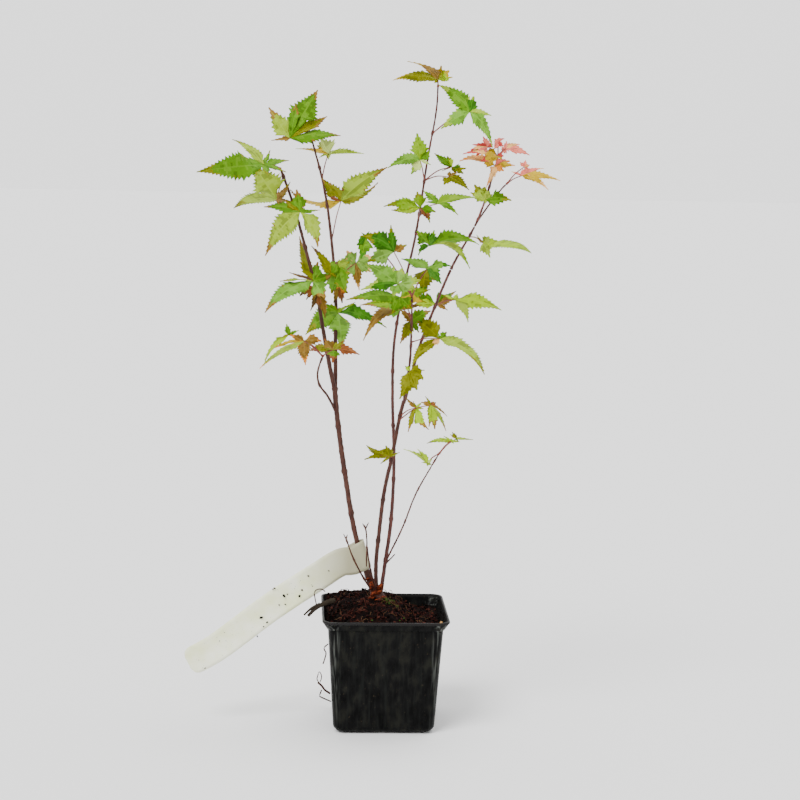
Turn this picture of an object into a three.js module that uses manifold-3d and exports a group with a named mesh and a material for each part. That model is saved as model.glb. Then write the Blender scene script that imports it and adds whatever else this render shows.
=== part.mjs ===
// Young maple with several stems in a square nursery pot, in millimetres, +Z up.
// The origin is the middle of the pot's underside. +X is to the viewer's right, +Y away from the viewer.
import * as THREE from 'three';
import { mergeVertices } from 'three/addons/utils/BufferGeometryUtils.js';
import Module from 'manifold-3d';

const wasm = await Module();
wasm.setup();

// Pot
const RIM_WIDTH = 110;
const RIM_HEIGHT = 101.5;
const COLLAR_DEPTH = 8.8;
const BEAD_DEPTH = 2.2;
const BEAD_FLAT = 0.7;
const BEAD_ROUND = 0.6;
const COLLAR_TOP_WIDTH = 108.4;
const COLLAR_FOOT_WIDTH = 102;
const BODY_TOP_WIDTH = 99.5;
const BODY_FOOT_WIDTH = 87.5;
const POT_WALL = 1.3;
const POT_FLOOR = 2;
const POT_CORNER = 9;
const RIM_CORNER = 10;
const FOOT_ROUND = 7;
const FOOT_NOTCH = { length: 18, height: 1, depth: 6 };

// Soil, heaped behind the stems on the left and low on the right
const SOIL_LOW = 91.5;
const SOIL_RISE = 16;
const HEAP = { x: -17, y: 18, spreadX: 36, spreadY: 66 };
const SOIL_EDGE_SLOPE = 0.75;
const SOIL_EDGE_BELOW_RIM = 4;
const SOIL_BUMP = 1.1;
const SOIL_RINGS = [1, 0.9, 0.78, 0.66, 0.54, 0.42, 0.3, 0.18, 0.07];

// Neighbours stand this far apart, and a limb that is cut by its parent a little more
const GAP = 0.3;
const CUT_GAP = 0.4;

// Slivers smaller than this are merged into their neighbours after a join
const FACE_TOLERANCE = 0.1;

// The viewer's eye, and its square view. A place on the plant is read off that view as a column and a
// row, counted from the top left, with how far back it lies from the upright plane through the pot.
const EYE = { side: 10.25, distance: 1666, height: 514.7, turn: 0.055, pitch: 0.136, roll: -0.021 };
const VIEW = { size: 800, focus: 1934.7 };

// Limbs
const FLARE_FADE = 7;
const SIDE_TAPER = 0.85;

// How a blade lies: mm away from the viewer for each mm up. With a minus sign its upper part leans nearer.
const LEVEL = 2.2;
const SLANTING = 1.2;
const UPRIGHT = 0.5;
const STEEPEST_SIDE = 0.6;

// Leaf blade: seven lobes round the end of its stalk
const LOBE_ANGLES = [-128, -84, -42, 0, 42, 84, 128];
const LOBE_REACH = [0.34, 0.72, 0.93, 1, 0.93, 0.72, 0.34];
const LOBE_WIDTH = 0.31;
const LOBE_SHOULDER = 0.5;
const LOBE_ROOM = 0.46;
const LOBE_NOTCH = 0.2;
const LOBE_FOLD = 0.25;
const LOBE_SMALL = 0.45;
const LOBE_SPREAD = THREE.MathUtils.degToRad(42);
const ANGLE_CHANCE = THREE.MathUtils.degToRad(5);
const REACH_CHANCE = 0.08;
const DROOP = 0.15;
const BLADE_THICKNESS = 0.9;

// Sprigs and stalks. A sprig goes at most a share of the way to its leaves, and a stalk starts inside it.
const SPRIG_RADIUS = 0.9;
const SPRIG_LENGTH = 7;
const SPRIG_SHARE = 0.4;
const STALK_RADIUS = 0.65;
const STALK_BOW = 0.06;
const STALK_START = 0.2;
const STALK_SUNK = 1.5;

// Plant label: a blank strip whose end loops round the trunk and hangs to the left
const LABEL = {
  width: 25,
  thickness: 0.8,
  blade: [[188, 663, -22], [214, 649, -18], [271, 607, -10], [317, 577, -3], [342, 562, 2]],
  atTrunk: [360, 555.5, 9.4],
  loopRadius: 5.8,
  loopRise: 28,
  trunkLean: 17,
  approach: 8,
  tuck: 12,
  endRound: 8,
  endShare: 0.45,
  turnFrom: 0.6,
  turnTo: 0.76,
  steps: 32,
};

const COLOURS = {
  pot: { color: 0x17191a, roughness: 0.35, metalness: 0 },
  soil: { color: 0x2c2119, roughness: 0.95, metalness: 0 },
  bark: { color: 0x4a3029, roughness: 0.7, metalness: 0 },
  twig: { color: 0x5a3a33, roughness: 0.65, metalness: 0 },
  green: { color: 0x5f9430, roughness: 0.55, metalness: 0 },
  bright: { color: 0x8fb52c, roughness: 0.55, metalness: 0 },
  orange: { color: 0xb98a3a, roughness: 0.55, metalness: 0 },
  red: { color: 0xdd7a5c, roughness: 0.55, metalness: 0 },
  label: { color: 0xf1f3f0, roughness: 0.4, metalness: 0 },
};

const plant = new THREE.Group();

function seededRandom(seed) {
  let state = seed;
  return () => {
    state = (state * 1664525 + 1013904223) % 4294967296;
    return state / 4294967296;
  };
}

// A place as the viewer counts it (x right, y away, z up), from its reading in the view
function sighted(column, row, back) {
  const aside = (column - VIEW.size / 2) / VIEW.focus;
  const above = (VIEW.size / 2 - row) / VIEW.focus;
  const u = aside * Math.cos(EYE.roll) + above * Math.sin(EYE.roll);
  const v = above * Math.cos(EYE.roll) - aside * Math.sin(EYE.roll);
  const away = Math.cos(EYE.pitch) + v * Math.sin(EYE.pitch);
  const up = v * Math.cos(EYE.pitch) - Math.sin(EYE.pitch);
  const reach = (EYE.distance + back) / away;
  return new THREE.Vector3(EYE.side + u * reach, back, EYE.height + up * reach);
}

// The same place or direction in the part's own frame, because the pot stands a little turned
function turned({ x, y, z }) {
  const across = Math.cos(EYE.turn);
  const aside = Math.sin(EYE.turn);
  return new THREE.Vector3(x * across + y * aside, y * across - x * aside, z);
}

function seen(reading) {
  return turned(sighted(...reading));
}

function smoothCurve(points) {
  return new THREE.CatmullRomCurve3(points, false, 'centripetal');
}

function solidFrom(geometry) {
  geometry.deleteAttribute('normal');
  geometry.deleteAttribute('uv');
  const merged = mergeVertices(geometry, 1e-4);
  return new wasm.Manifold(new wasm.Mesh({
    numProp: 3,
    vertProperties: merged.attributes.position.array,
    triVerts: Uint32Array.from(merged.index.array),
  }));
}

function solidOf(points, faces) {
  const geometry = new THREE.BufferGeometry();
  geometry.setFromPoints(points);
  geometry.setIndex(faces.flat());
  return solidFrom(geometry);
}

// A closed body through rings that have equally many points, with a fan over each end
function loft(rings) {
  const points = rings.flat();
  const count = rings[0].length;
  const faces = [];
  for (let i = 0; i + 1 < rings.length; i += 1) {
    for (let j = 0; j < count; j += 1) {
      const a = i * count + j;
      const b = i * count + ((j + 1) % count);
      faces.push([a, b, b + count], [a, b + count, a + count]);
    }
  }
  for (const [ring, flip] of [[0, true], [rings.length - 1, false]]) {
    const middle = points.length;
    const centre = rings[ring].reduce((sum, p) => sum.clone().add(p), new THREE.Vector3());
    points.push(centre.divideScalar(count));
    for (let j = 0; j < count; j += 1) {
      const a = ring * count + j;
      const b = ring * count + ((j + 1) % count);
      faces.push(flip ? [b, a, middle] : [a, b, middle]);
    }
  }
  return solidOf(points, faces);
}

// A ring of points round a place, square to the way that `along` runs
function roundRing(middle, along, helper, radius, sides) {
  const aside = helper.clone().addScaledVector(along, -helper.dot(along)).normalize();
  const other = along.clone().cross(aside);
  const ring = [];
  for (let j = 0; j < sides; j += 1) {
    const angle = (2 * Math.PI * j) / sides;
    ring.push(middle.clone()
      .addScaledVector(aside, radius * Math.cos(angle))
      .addScaledVector(other, radius * Math.sin(angle)));
  }
  return ring;
}

function largestPiece(solid) {
  return solid.decompose().reduce((a, b) => (b.volume() > a.volume() ? b : a));
}

function addSolid(name, solid, finish) {
  const mesh = solid.getMesh();
  const geometry = new THREE.BufferGeometry();
  geometry.setAttribute('position', new THREE.BufferAttribute(mesh.vertProperties, 3));
  geometry.setIndex(new THREE.BufferAttribute(mesh.triVerts, 1));
  geometry.computeVertexNormals();
  const piece = new THREE.Mesh(geometry, new THREE.MeshStandardMaterial(finish));
  piece.name = name;
  plant.add(piece);
}

// Level outline of a square with round corners
function squareRing(width, corner, height) {
  const ring = [];
  const steps = 3;
  const reach = width / 2 - corner;
  for (const [sx, sy, start] of [[1, 1, 0], [-1, 1, 90], [-1, -1, 180], [1, -1, 270]]) {
    for (let i = 0; i <= steps; i += 1) {
      const angle = THREE.MathUtils.degToRad(start + (90 * i) / steps);
      ring.push(new THREE.Vector3(
        sx * reach + corner * Math.cos(angle),
        sy * reach + corner * Math.sin(angle),
        height,
      ));
    }
  }
  return ring;
}

const collarFoot = RIM_HEIGHT - COLLAR_DEPTH;
const collarTop = RIM_HEIGHT - BEAD_DEPTH;
const innerRim = COLLAR_TOP_WIDTH - 2 * POT_WALL;
const innerCorner = POT_CORNER - POT_WALL;

function bodyWidth(height) {
  return THREE.MathUtils.lerp(BODY_FOOT_WIDTH, BODY_TOP_WIDTH, height / collarFoot);
}

function innerWidth(height) {
  if (height <= collarFoot) {
    return bodyWidth(height) - 2 * POT_WALL;
  }
  const share = Math.min(1, (height - collarFoot) / (collarTop - collarFoot));
  return THREE.MathUtils.lerp(innerWidth(collarFoot), innerRim, share);
}

// Pot: thin moulded wall, a flared collar and a fine bead round the top
function makePot() {
  const rings = [];
  for (const angle of [0, 30, 60, 90]) {
    const bend = THREE.MathUtils.degToRad(angle);
    const height = FOOT_ROUND * (1 - Math.cos(bend));
    const inset = FOOT_ROUND * (1 - Math.sin(bend));
    rings.push(squareRing(bodyWidth(height) - 2 * inset, POT_CORNER, height));
  }
  rings.push(squareRing(bodyWidth(collarFoot), POT_CORNER, collarFoot));
  rings.push(squareRing(COLLAR_FOOT_WIDTH, POT_CORNER, collarFoot));
  rings.push(squareRing(COLLAR_TOP_WIDTH, POT_CORNER, collarTop));
  rings.push(squareRing(RIM_WIDTH, RIM_CORNER, RIM_HEIGHT - BEAD_ROUND - BEAD_FLAT));
  rings.push(squareRing(RIM_WIDTH, RIM_CORNER, RIM_HEIGHT - BEAD_ROUND));
  rings.push(squareRing(RIM_WIDTH - 2 * BEAD_ROUND, RIM_CORNER - BEAD_ROUND, RIM_HEIGHT));
  for (const height of [RIM_HEIGHT, collarTop, collarFoot, FOOT_ROUND]) {
    rings.push(squareRing(innerWidth(height), innerCorner, height));
  }
  rings.push(squareRing(bodyWidth(0) - 2 * FOOT_ROUND, innerCorner, POT_FLOOR));
  let pot = loft(rings);
  for (const angle of [0, 90, 180, 270]) {
    const notch = new THREE.BoxGeometry(FOOT_NOTCH.length, FOOT_NOTCH.depth * 2, FOOT_NOTCH.height * 2);
    notch.translate(0, -BODY_FOOT_WIDTH / 2 + FOOT_ROUND / 2, 0);
    notch.rotateZ(THREE.MathUtils.degToRad(angle));
    pot = pot.subtract(solidFrom(notch));
  }
  return pot;
}

function soilHeight(x, y) {
  const across = Math.exp(-(((x - HEAP.x) / HEAP.spreadX) ** 4));
  const along = Math.exp(-(((y - HEAP.y) / HEAP.spreadY) ** 4));
  const inset = Math.max(0, innerRim / 2 - Math.max(Math.abs(x), Math.abs(y)));
  const heaped = SOIL_LOW + SOIL_RISE * across * along;
  return Math.min(heaped, RIM_HEIGHT - SOIL_EDGE_BELOW_RIM + SOIL_EDGE_SLOPE * inset);
}

// Soil: fills the pot to its wall, with a crumbly heap on top
function makeSoil() {
  const bump = seededRandom(7);
  const inside = [
    squareRing(bodyWidth(0) - 2 * (FOOT_ROUND + CUT_GAP), innerCorner, POT_FLOOR + GAP),
    ...[FOOT_ROUND + GAP, collarFoot, collarTop, RIM_HEIGHT + SOIL_RISE].map(
      (height) => squareRing(innerWidth(height) - 2 * CUT_GAP, innerCorner, height),
    ),
  ];
  const rim = squareRing(innerRim, innerCorner, 0);
  const heap = [rim];
  for (const share of SOIL_RINGS) {
    heap.push(rim.map(({ x, y }) => {
      const level = soilHeight(x * share, y * share) + bump() * SOIL_BUMP;
      return new THREE.Vector3(x * share, y * share, level);
    }));
  }
  return loft(inside).intersect(loft(heap));
}

// A limb runs through places read as column, row and back, and tapers from one radius to the other
function makeLimb({ places, radii, sides = 6, step = 15, flare = 0, grow = 0, level = false, side }) {
  const curve = smoothCurve(places.map(seen));
  const count = Math.max(2, Math.round(curve.getLength() / step));
  const middles = curve.getSpacedPoints(count);
  const rings = middles.map((place, i) => {
    const share = i / count;
    const along = level && i === 0 ? new THREE.Vector3(0, 0, 1) : curve.getTangentAt(share);
    const end = (i === count ? grow : 0) - (i === 0 ? grow : 0);
    const middle = place.clone().addScaledVector(along, end);
    const foot = flare * Math.exp(-place.distanceTo(middles[0]) / FLARE_FADE);
    const radius = THREE.MathUtils.lerp(radii[0], radii[1], share) + grow + foot;
    return roundRing(middle, along, new THREE.Vector3(1, 0, 0), radius, sides);
  });
  const limb = loft(rings);
  if (!side) {
    return limb;
  }
  return limb.add(makeLimb({ places: side, radii: [radii[1], radii[1] * SIDE_TAPER], sides, grow }));
}

// Main stems and boughs, from the soil upwards. Each starts inside its parent, which is cut clear of it.
const LIMBS = {
  trunk: {
    places: [[378, 597, 12], [375, 590, 11.5], [367.5, 574, 10], [355.5, 535, 8], [345.5, 478, 5],
      [337, 415, 2], [334.5, 385, 0]],
    radii: [2.2, 2.3],
    flare: 6.5,
    sides: 8,
    step: 8,
    level: true,
    finish: COLOURS.bark,
  },
  left_leader: {
    parent: 'trunk',
    places: [[334, 386.5, -0.5], [331, 373, -5], [323.5, 332, -14], [318, 300, -23], [306, 250, -37],
      [292, 200.5, -50], [280.5, 168.5, -58]],
    radii: [1.8, 1],
    finish: COLOURS.bark,
  },
  second_leader: {
    parent: 'trunk',
    clear: ['left_leader'],
    places: [[335, 385.5, 0.5], [335.5, 373, 4], [335.5, 337, 12], [336, 305, 20], [332.5, 250, 33],
      [324.5, 190, 46], [309.5, 130.5, 56]],
    radii: [1.7, 0.8],
    finish: COLOURS.bark,
  },
  curved_twig: {
    parent: 'trunk',
    places: [[335.5, 409, 0.5], [328, 396.5, -6], [319.5, 385, -13], [317.5, 376, -19], [318.5, 368, -24],
      [323, 355.5, -32]],
    radii: [1, 0.75],
    step: 8,
    finish: COLOURS.twig,
  },
  middle_stem: {
    parent: 'trunk',
    places: [[376.5, 588, 11], [376, 564, 10], [379, 533, 9], [384.5, 490, 7], [392, 456.5, 5],
      [399.5, 418, 2], [404, 400, 0]],
    radii: [1.6, 1.6],
    finish: COLOURS.bark,
  },
  middle_leader: {
    parent: 'middle_stem',
    places: [[404, 401, -0.5], [406, 383, -8], [409.5, 365.5, -16], [411.5, 328, -30], [412, 294, -42]],
    radii: [1.2, 0.75],
    finish: COLOURS.bark,
  },
  right_leader: {
    parent: 'middle_stem',
    clear: ['middle_leader'],
    places: [[404.5, 401, 0.5], [410, 381, 7], [419, 348, 12], [435, 306.5, 18], [452.5, 266, 24],
      [477, 221.5, 30], [490, 185, 20], [498, 157, 8]],
    radii: [1.4, 0.75],
    finish: COLOURS.bark,
  },
  right_twig: {
    parent: 'right_leader',
    places: [[477, 222, 30], [487.5, 207, 38], [502, 188.5, 50], [507, 183.5, 54]],
    radii: [0.8, 0.65],
    finish: COLOURS.twig,
  },
  tall_stem: {
    parent: 'trunk',
    clear: ['middle_stem'],
    places: [[381, 590, 12.5], [384.5, 567, 15], [391, 520, 17], [394, 459, 17], [392.5, 399, 15],
      [394, 345, 13], [402, 295.5, 11], [415.5, 235.5, 10], [428, 157, 6], [436.5, 109.5, 2],
      [438, 87, 0]],
    radii: [1.5, 0.7],
    finish: COLOURS.bark,
  },
  low_twig: {
    parent: 'tall_stem',
    places: [[386, 560, 15], [402.5, 527.5, 2], [416, 493.5, -14], [432.5, 464.5, -32], [439.5, 453, -40]],
    radii: [0.8, 0.6],
    finish: COLOURS.twig,
  },
  short_stub: {
    parent: 'tall_stem',
    places: [[385.5, 563.5, 15], [395, 554, 17]],
    radii: [0.7, 0.6],
    finish: COLOURS.twig,
  },
  bare_twig_left: {
    parent: 'trunk',
    places: [[374.5, 591.5, 8.5], [363, 577, -2], [353, 557.5, -6], [346, 539, -7], [343.5, 534, -7]],
    side: [[346, 539, -7], [347.5, 534.5, -6.5]],
    radii: [0.9, 0.6],
    step: 8,
    finish: COLOURS.twig,
  },
  bare_twig_front: {
    parent: 'trunk',
    clear: ['bare_twig_left'],
    places: [[377.5, 591.5, 8.5], [370.5, 570, -3], [366.5, 544, -5]],
    side: [[367, 547, -5], [366.5, 557, -6], [366.5, 566.5, -6]],
    radii: [1, 0.65],
    step: 8,
    finish: COLOURS.twig,
  },
  bare_twig_back: {
    parent: 'trunk',
    clear: ['middle_stem'],
    places: [[374.5, 590.5, 14], [368.5, 571.5, 18], [365.5, 528.5, 17], [362.5, 523.5, 16.5]],
    side: [[365.5, 529, 17], [368.5, 522.5, 17]],
    radii: [0.9, 0.6],
    step: 8,
    finish: COLOURS.twig,
  },
};

// A tube of three sides for leaf stalks and sprigs
function makeStalk(places, radius) {
  const curve = smoothCurve(places);
  const steps = 2;
  const rings = [];
  for (let i = 0; i <= steps; i += 1) {
    const along = curve.getTangentAt(i / steps);
    const steep = Math.abs(along.z) > 0.9;
    const helper = new THREE.Vector3(0, 0, 1).cross(steep ? new THREE.Vector3(0, 1, 0) : along);
    rings.push(roundRing(curve.getPointAt(i / steps), along, helper, radius, 3));
  }
  return loft(rings);
}

// The blade holds the level way out from its limb and slopes up and away as its lie says. Its middle lobe
// runs from the end of the stalk to the tip that the viewer sees.
function bladeAxes({ at, tip, lie }, root) {
  const end = sighted(...at);
  const out = end.clone().sub(sighted(...root));
  const side = THREE.MathUtils.clamp(out.y / out.x, -STEEPEST_SIDE, STEEPEST_SIDE);
  const flat = sighted(tip[0], tip[1], at[2]).sub(end);
  const lobe = new THREE.Vector3(flat.x, side * flat.x + lie * flat.z, flat.z);
  const face = turned(new THREE.Vector3(1, side, 0).cross(new THREE.Vector3(0, lie, 1))).normalize();
  face.multiplyScalar(face.z < 0 ? -1 : 1);
  const along = turned(lobe).normalize();
  return { along, aside: face.clone().cross(along), face, length: lobe.length() };
}

// One blade: each lobe is a kite with a raised pair of shoulders, drooping towards its tip
function makeLeaf(leaf, root, random) {
  const { along, aside, face, length } = bladeAxes(leaf, root);
  const middle = seen(leaf.at);
  const half = BLADE_THICKNESS / 2;
  const top = [];
  const put = (angle, radius, lift = 0) => {
    const drop = DROOP * radius * (radius / length);
    top.push(middle.clone()
      .addScaledVector(along, radius * Math.cos(angle))
      .addScaledVector(aside, radius * Math.sin(angle))
      .addScaledVector(face, lift - drop));
    return top.length - 1;
  };
  const lobes = LOBE_ANGLES.map((degrees, i) => ({
    angle: THREE.MathUtils.degToRad(degrees) + ANGLE_CHANCE * (random() - 0.5),
    length: length * LOBE_REACH[i] * (1 + REACH_CHANCE * (random() - 0.5)),
  }));
  const centre = put(0, 0);
  const faces = [];
  const first = put(lobes[0].angle - LOBE_SPREAD / 2, LOBE_NOTCH * lobes[0].length);
  const outline = [first];
  lobes.forEach((lobe, i) => {
    const next = lobes[i + 1];
    const before = outline[outline.length - 1];
    const room = Math.min(LOBE_SPREAD, next ? next.angle - lobe.angle : LOBE_SPREAD);
    const after = next
      ? put((lobe.angle + next.angle) / 2, LOBE_NOTCH * Math.min(lobe.length, next.length) + 1)
      : put(lobe.angle + LOBE_SPREAD / 2, LOBE_NOTCH * lobe.length);
    const tip = put(lobe.angle, lobe.length);
    if (lobe.length < LOBE_SMALL * length) {
      faces.push([centre, before, tip], [centre, tip, after]);
      outline.push(tip, after);
      return;
    }
    const out = LOBE_SHOULDER * lobe.length;
    const wide = Math.min((LOBE_WIDTH / 2) * lobe.length, Math.tan(room * LOBE_ROOM) * out);
    const lean = Math.atan2(wide, out);
    const far = Math.hypot(wide, out);
    const rib = put(lobe.angle, out);
    const right = put(lobe.angle - lean, far, wide * LOBE_FOLD);
    const left = put(lobe.angle + lean, far, wide * LOBE_FOLD);
    faces.push([centre, before, rib], [before, right, rib], [right, tip, rib]);
    faces.push([rib, tip, left], [rib, left, after], [centre, rib, after]);
    outline.push(right, tip, left, after);
  });
  faces.push([centre, outline[outline.length - 1], first]);
  const count = top.length;
  const points = [
    ...top.map((p) => p.clone().addScaledVector(face, half)),
    ...top.map((p) => p.clone().addScaledVector(face, -half)),
  ];
  const under = faces.map(([a, b, c]) => [a + count, c + count, b + count]);
  const rim = outline.flatMap((a, i) => {
    const b = outline[(i + 1) % outline.length];
    return [[b, a, a + count], [b, a + count, b + count]];
  });
  return solidOf(points, [...faces, ...under, ...rim]);
}

// The reading on a limb's middle line at one row of the view
function onLimb(name, row) {
  const curve = smoothCurve(LIMBS[name].places.map((place) => new THREE.Vector3(...place)));
  const samples = curve.getSpacedPoints(200);
  return samples.reduce((a, b) => (Math.abs(b.y - row) < Math.abs(a.y - row) ? b : a)).toArray();
}

// Foliage: one sprig leaves a limb at a row of the view and carries the stalks of its leaves. A leaf has
// the end of its stalk, the tip of its middle lobe, and how its blade lies.
const FOLIAGE = {
  leaves_left_top: {
    limb: 'second_leader',
    row: 132,
    leaves: [
      { at: [290, 138, 36], tip: [316, 90], lie: UPRIGHT },
      { at: [328.5, 154.5, 74], tip: [365, 154], lie: -LEVEL },
    ],
  },
  leaves_far_left: {
    limb: 'left_leader',
    row: 175,
    leaves: [
      { at: [264, 165, -70], tip: [202, 171], lie: LEVEL },
      { at: [277, 199, -45], tip: [230, 209], lie: -LEVEL },
    ],
  },
  leaves_left_shoulder: {
    limb: 'left_leader',
    row: 244,
    leaves: [
      { at: [300, 212, -68], tip: [266, 254], lie: -UPRIGHT },
    ],
  },
  leaves_between: {
    limb: 'second_leader',
    row: 207,
    leaves: [
      { at: [341, 201, 66], tip: [385, 170], lie: -SLANTING },
    ],
  },
  leaves_left_middle: {
    limb: 'left_leader',
    row: 296,
    leaves: [
      { at: [312, 282, -38], tip: [273, 306], lie: SLANTING },
    ],
  },
  leaves_left_inner: {
    limb: 'second_leader',
    row: 266,
    leaves: [
      { at: [331, 270, -2], tip: [311, 246], lie: UPRIGHT },
      { at: [339, 269, 10], tip: [335, 303], lie: UPRIGHT },
    ],
  },
  leaves_pale_back: {
    limb: 'second_leader',
    row: 285,
    leaves: [
      { at: [358, 261, 52], tip: [358, 293], lie: -UPRIGHT },
    ],
  },
  leaves_left_bright: {
    limb: 'second_leader',
    row: 326,
    leaves: [
      { at: [338, 313, -8], tip: [342, 356], lie: -SLANTING },
    ],
  },
  leaves_left_orange: {
    finish: COLOURS.orange,
    limb: 'curved_twig',
    row: 356,
    leaves: [
      { at: [304, 341, -50], tip: [259, 369], lie: -SLANTING },
      { at: [288.5, 335.5, -72], tip: [268, 352], lie: -UPRIGHT },
      { at: [332, 350, -40], tip: [361, 354], lie: -LEVEL },
    ],
  },
  leaves_middle_upper: {
    limb: 'middle_leader',
    row: 297,
    leaves: [
      { at: [393.5, 251.5, -64], tip: [362, 238], lie: -UPRIGHT },
      { at: [396.5, 284, -72], tip: [363, 288], lie: -SLANTING },
      { at: [427, 268, -34], tip: [450, 267], lie: -LEVEL },
    ],
  },
  leaves_middle_serrate: {
    limb: 'middle_leader',
    row: 320,
    leaves: [
      { at: [396, 296, -40], tip: [350, 296], lie: LEVEL },
      { at: [399, 309, -27], tip: [362, 318], lie: LEVEL },
    ],
  },
  leaves_right_arched: {
    limb: 'middle_leader',
    row: 343,
    leaves: [
      { at: [440, 339, -34], tip: [480, 361], lie: LEVEL },
    ],
  },
  leaves_right_yellow: {
    finish: COLOURS.bright,
    limb: 'right_leader',
    row: 309,
    leaves: [
      { at: [455, 300.5, 40], tip: [502, 311], lie: LEVEL },
      { at: [438, 302, 44], tip: [413, 300], lie: LEVEL },
    ],
  },
  leaves_right_low_tip: {
    finish: COLOURS.bright,
    limb: 'right_leader',
    row: 237,
    leaves: [
      { at: [484, 243.5, 52], tip: [534, 256], lie: -LEVEL },
    ],
  },
  leaves_centre_arched: {
    limb: 'tall_stem',
    row: 234,
    leaves: [
      { at: [431, 245, -22], tip: [475, 242], lie: -LEVEL },
    ],
  },
  leaves_centre_left: {
    limb: 'tall_stem',
    row: 217,
    leaves: [
      { at: [420, 208.5, -14], tip: [383, 208], lie: -LEVEL },
    ],
  },
  leaves_centre_right: {
    limb: 'tall_stem',
    row: 215,
    leaves: [
      { at: [437, 205, 50], tip: [480, 201], lie: LEVEL },
    ],
  },
  leaves_upper_left: {
    limb: 'tall_stem',
    row: 183,
    leaves: [
      { at: [420, 160, -14], tip: [388, 168], lie: UPRIGHT },
    ],
  },
  leaves_upper_curled: {
    limb: 'tall_stem',
    row: 181,
    leaves: [
      { at: [451, 167, 36], tip: [434, 153], lie: -SLANTING },
      { at: [449, 175, 30], tip: [471, 191], lie: -SLANTING },
    ],
  },
  leaves_upper_right: {
    limb: 'tall_stem',
    row: 133,
    leaves: [
      { at: [471, 112.5, -24], tip: [438, 84], lie: UPRIGHT },
    ],
  },
  leaves_top: {
    finish: COLOURS.orange,
    limb: 'tall_stem',
    row: 88,
    leaves: [
      { at: [438, 81, -4], tip: [393, 81], lie: -LEVEL },
    ],
  },
  leaves_red_tip: {
    finish: COLOURS.red,
    limb: 'right_leader',
    row: 158,
    leaves: [
      { at: [485, 147.5, -12], tip: [465, 148], lie: UPRIGHT },
      { at: [499, 153, 24], tip: [530, 155], lie: LEVEL },
      { at: [490.5, 161, -10], tip: [459, 161], lie: LEVEL },
    ],
  },
  leaves_far_right: {
    finish: COLOURS.orange,
    limb: 'right_twig',
    row: 184,
    leaves: [
      { at: [521.5, 173.5, 60], tip: [562, 181], lie: LEVEL },
    ],
  },
  leaves_right_dark: {
    limb: 'right_leader',
    row: 221,
    leaves: [
      { at: [486, 200, 10], tip: [511, 199.5], lie: LEVEL },
    ],
  },
  leaves_low_round: {
    finish: COLOURS.orange,
    limb: 'middle_stem',
    row: 461,
    leaves: [
      { at: [390.5, 456.5, -8], tip: [366, 453], lie: -SLANTING },
    ],
  },
  leaves_hanging: {
    finish: COLOURS.bright,
    limb: 'middle_leader',
    row: 378,
    leaves: [
      { at: [410, 372.5, -30], tip: [399, 402], lie: -UPRIGHT },
    ],
  },
  leaves_low_bright: {
    finish: COLOURS.bright,
    limb: 'middle_stem',
    row: 416,
    leaves: [
      { at: [415, 408.5, -16], tip: [408, 428], lie: SLANTING },
      { at: [429.5, 407, -34], tip: [435, 430], lie: -UPRIGHT },
    ],
  },
  leaves_low_tip: {
    finish: COLOURS.bright,
    limb: 'low_twig',
    row: 454,
    leaves: [
      { at: [454, 439.5, -52], tip: [427, 447.5], lie: -SLANTING },
      { at: [427, 462.5, -30], tip: [402, 449], lie: -SLANTING },
    ],
  },
};

// A sprig leaves its limb towards its leaves, and a bowed stalk runs on to each of them
function makeFoliage({ limb, row, leaves }, seed) {
  const random = seededRandom(seed);
  const reading = onLimb(limb, row);
  const root = seen(reading);
  const ends = leaves.map((leaf) => seen(leaf.at));
  const mean = ends.reduce((sum, p) => sum.clone().add(p), new THREE.Vector3()).divideScalar(ends.length);
  const out = mean.sub(root);
  const fork = root.clone().addScaledVector(out, Math.min(SPRIG_SHARE, SPRIG_LENGTH / out.length()));
  let solid = makeStalk([root, root.clone().lerp(fork, 0.5), fork], SPRIG_RADIUS);
  leaves.forEach((leaf, i) => {
    const end = ends[i];
    const bow = fork.clone().lerp(end, 0.5);
    bow.z += STALK_BOW * fork.distanceTo(end);
    const sunk = end.clone().addScaledVector(bladeAxes(leaf, reading).along, STALK_SUNK);
    const start = fork.clone().lerp(root, STALK_START);
    solid = solid.add(makeStalk([start, bow, sunk], STALK_RADIUS));
    solid = solid.add(makeLeaf(leaf, reading, random));
  });
  return solid;
}

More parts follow.
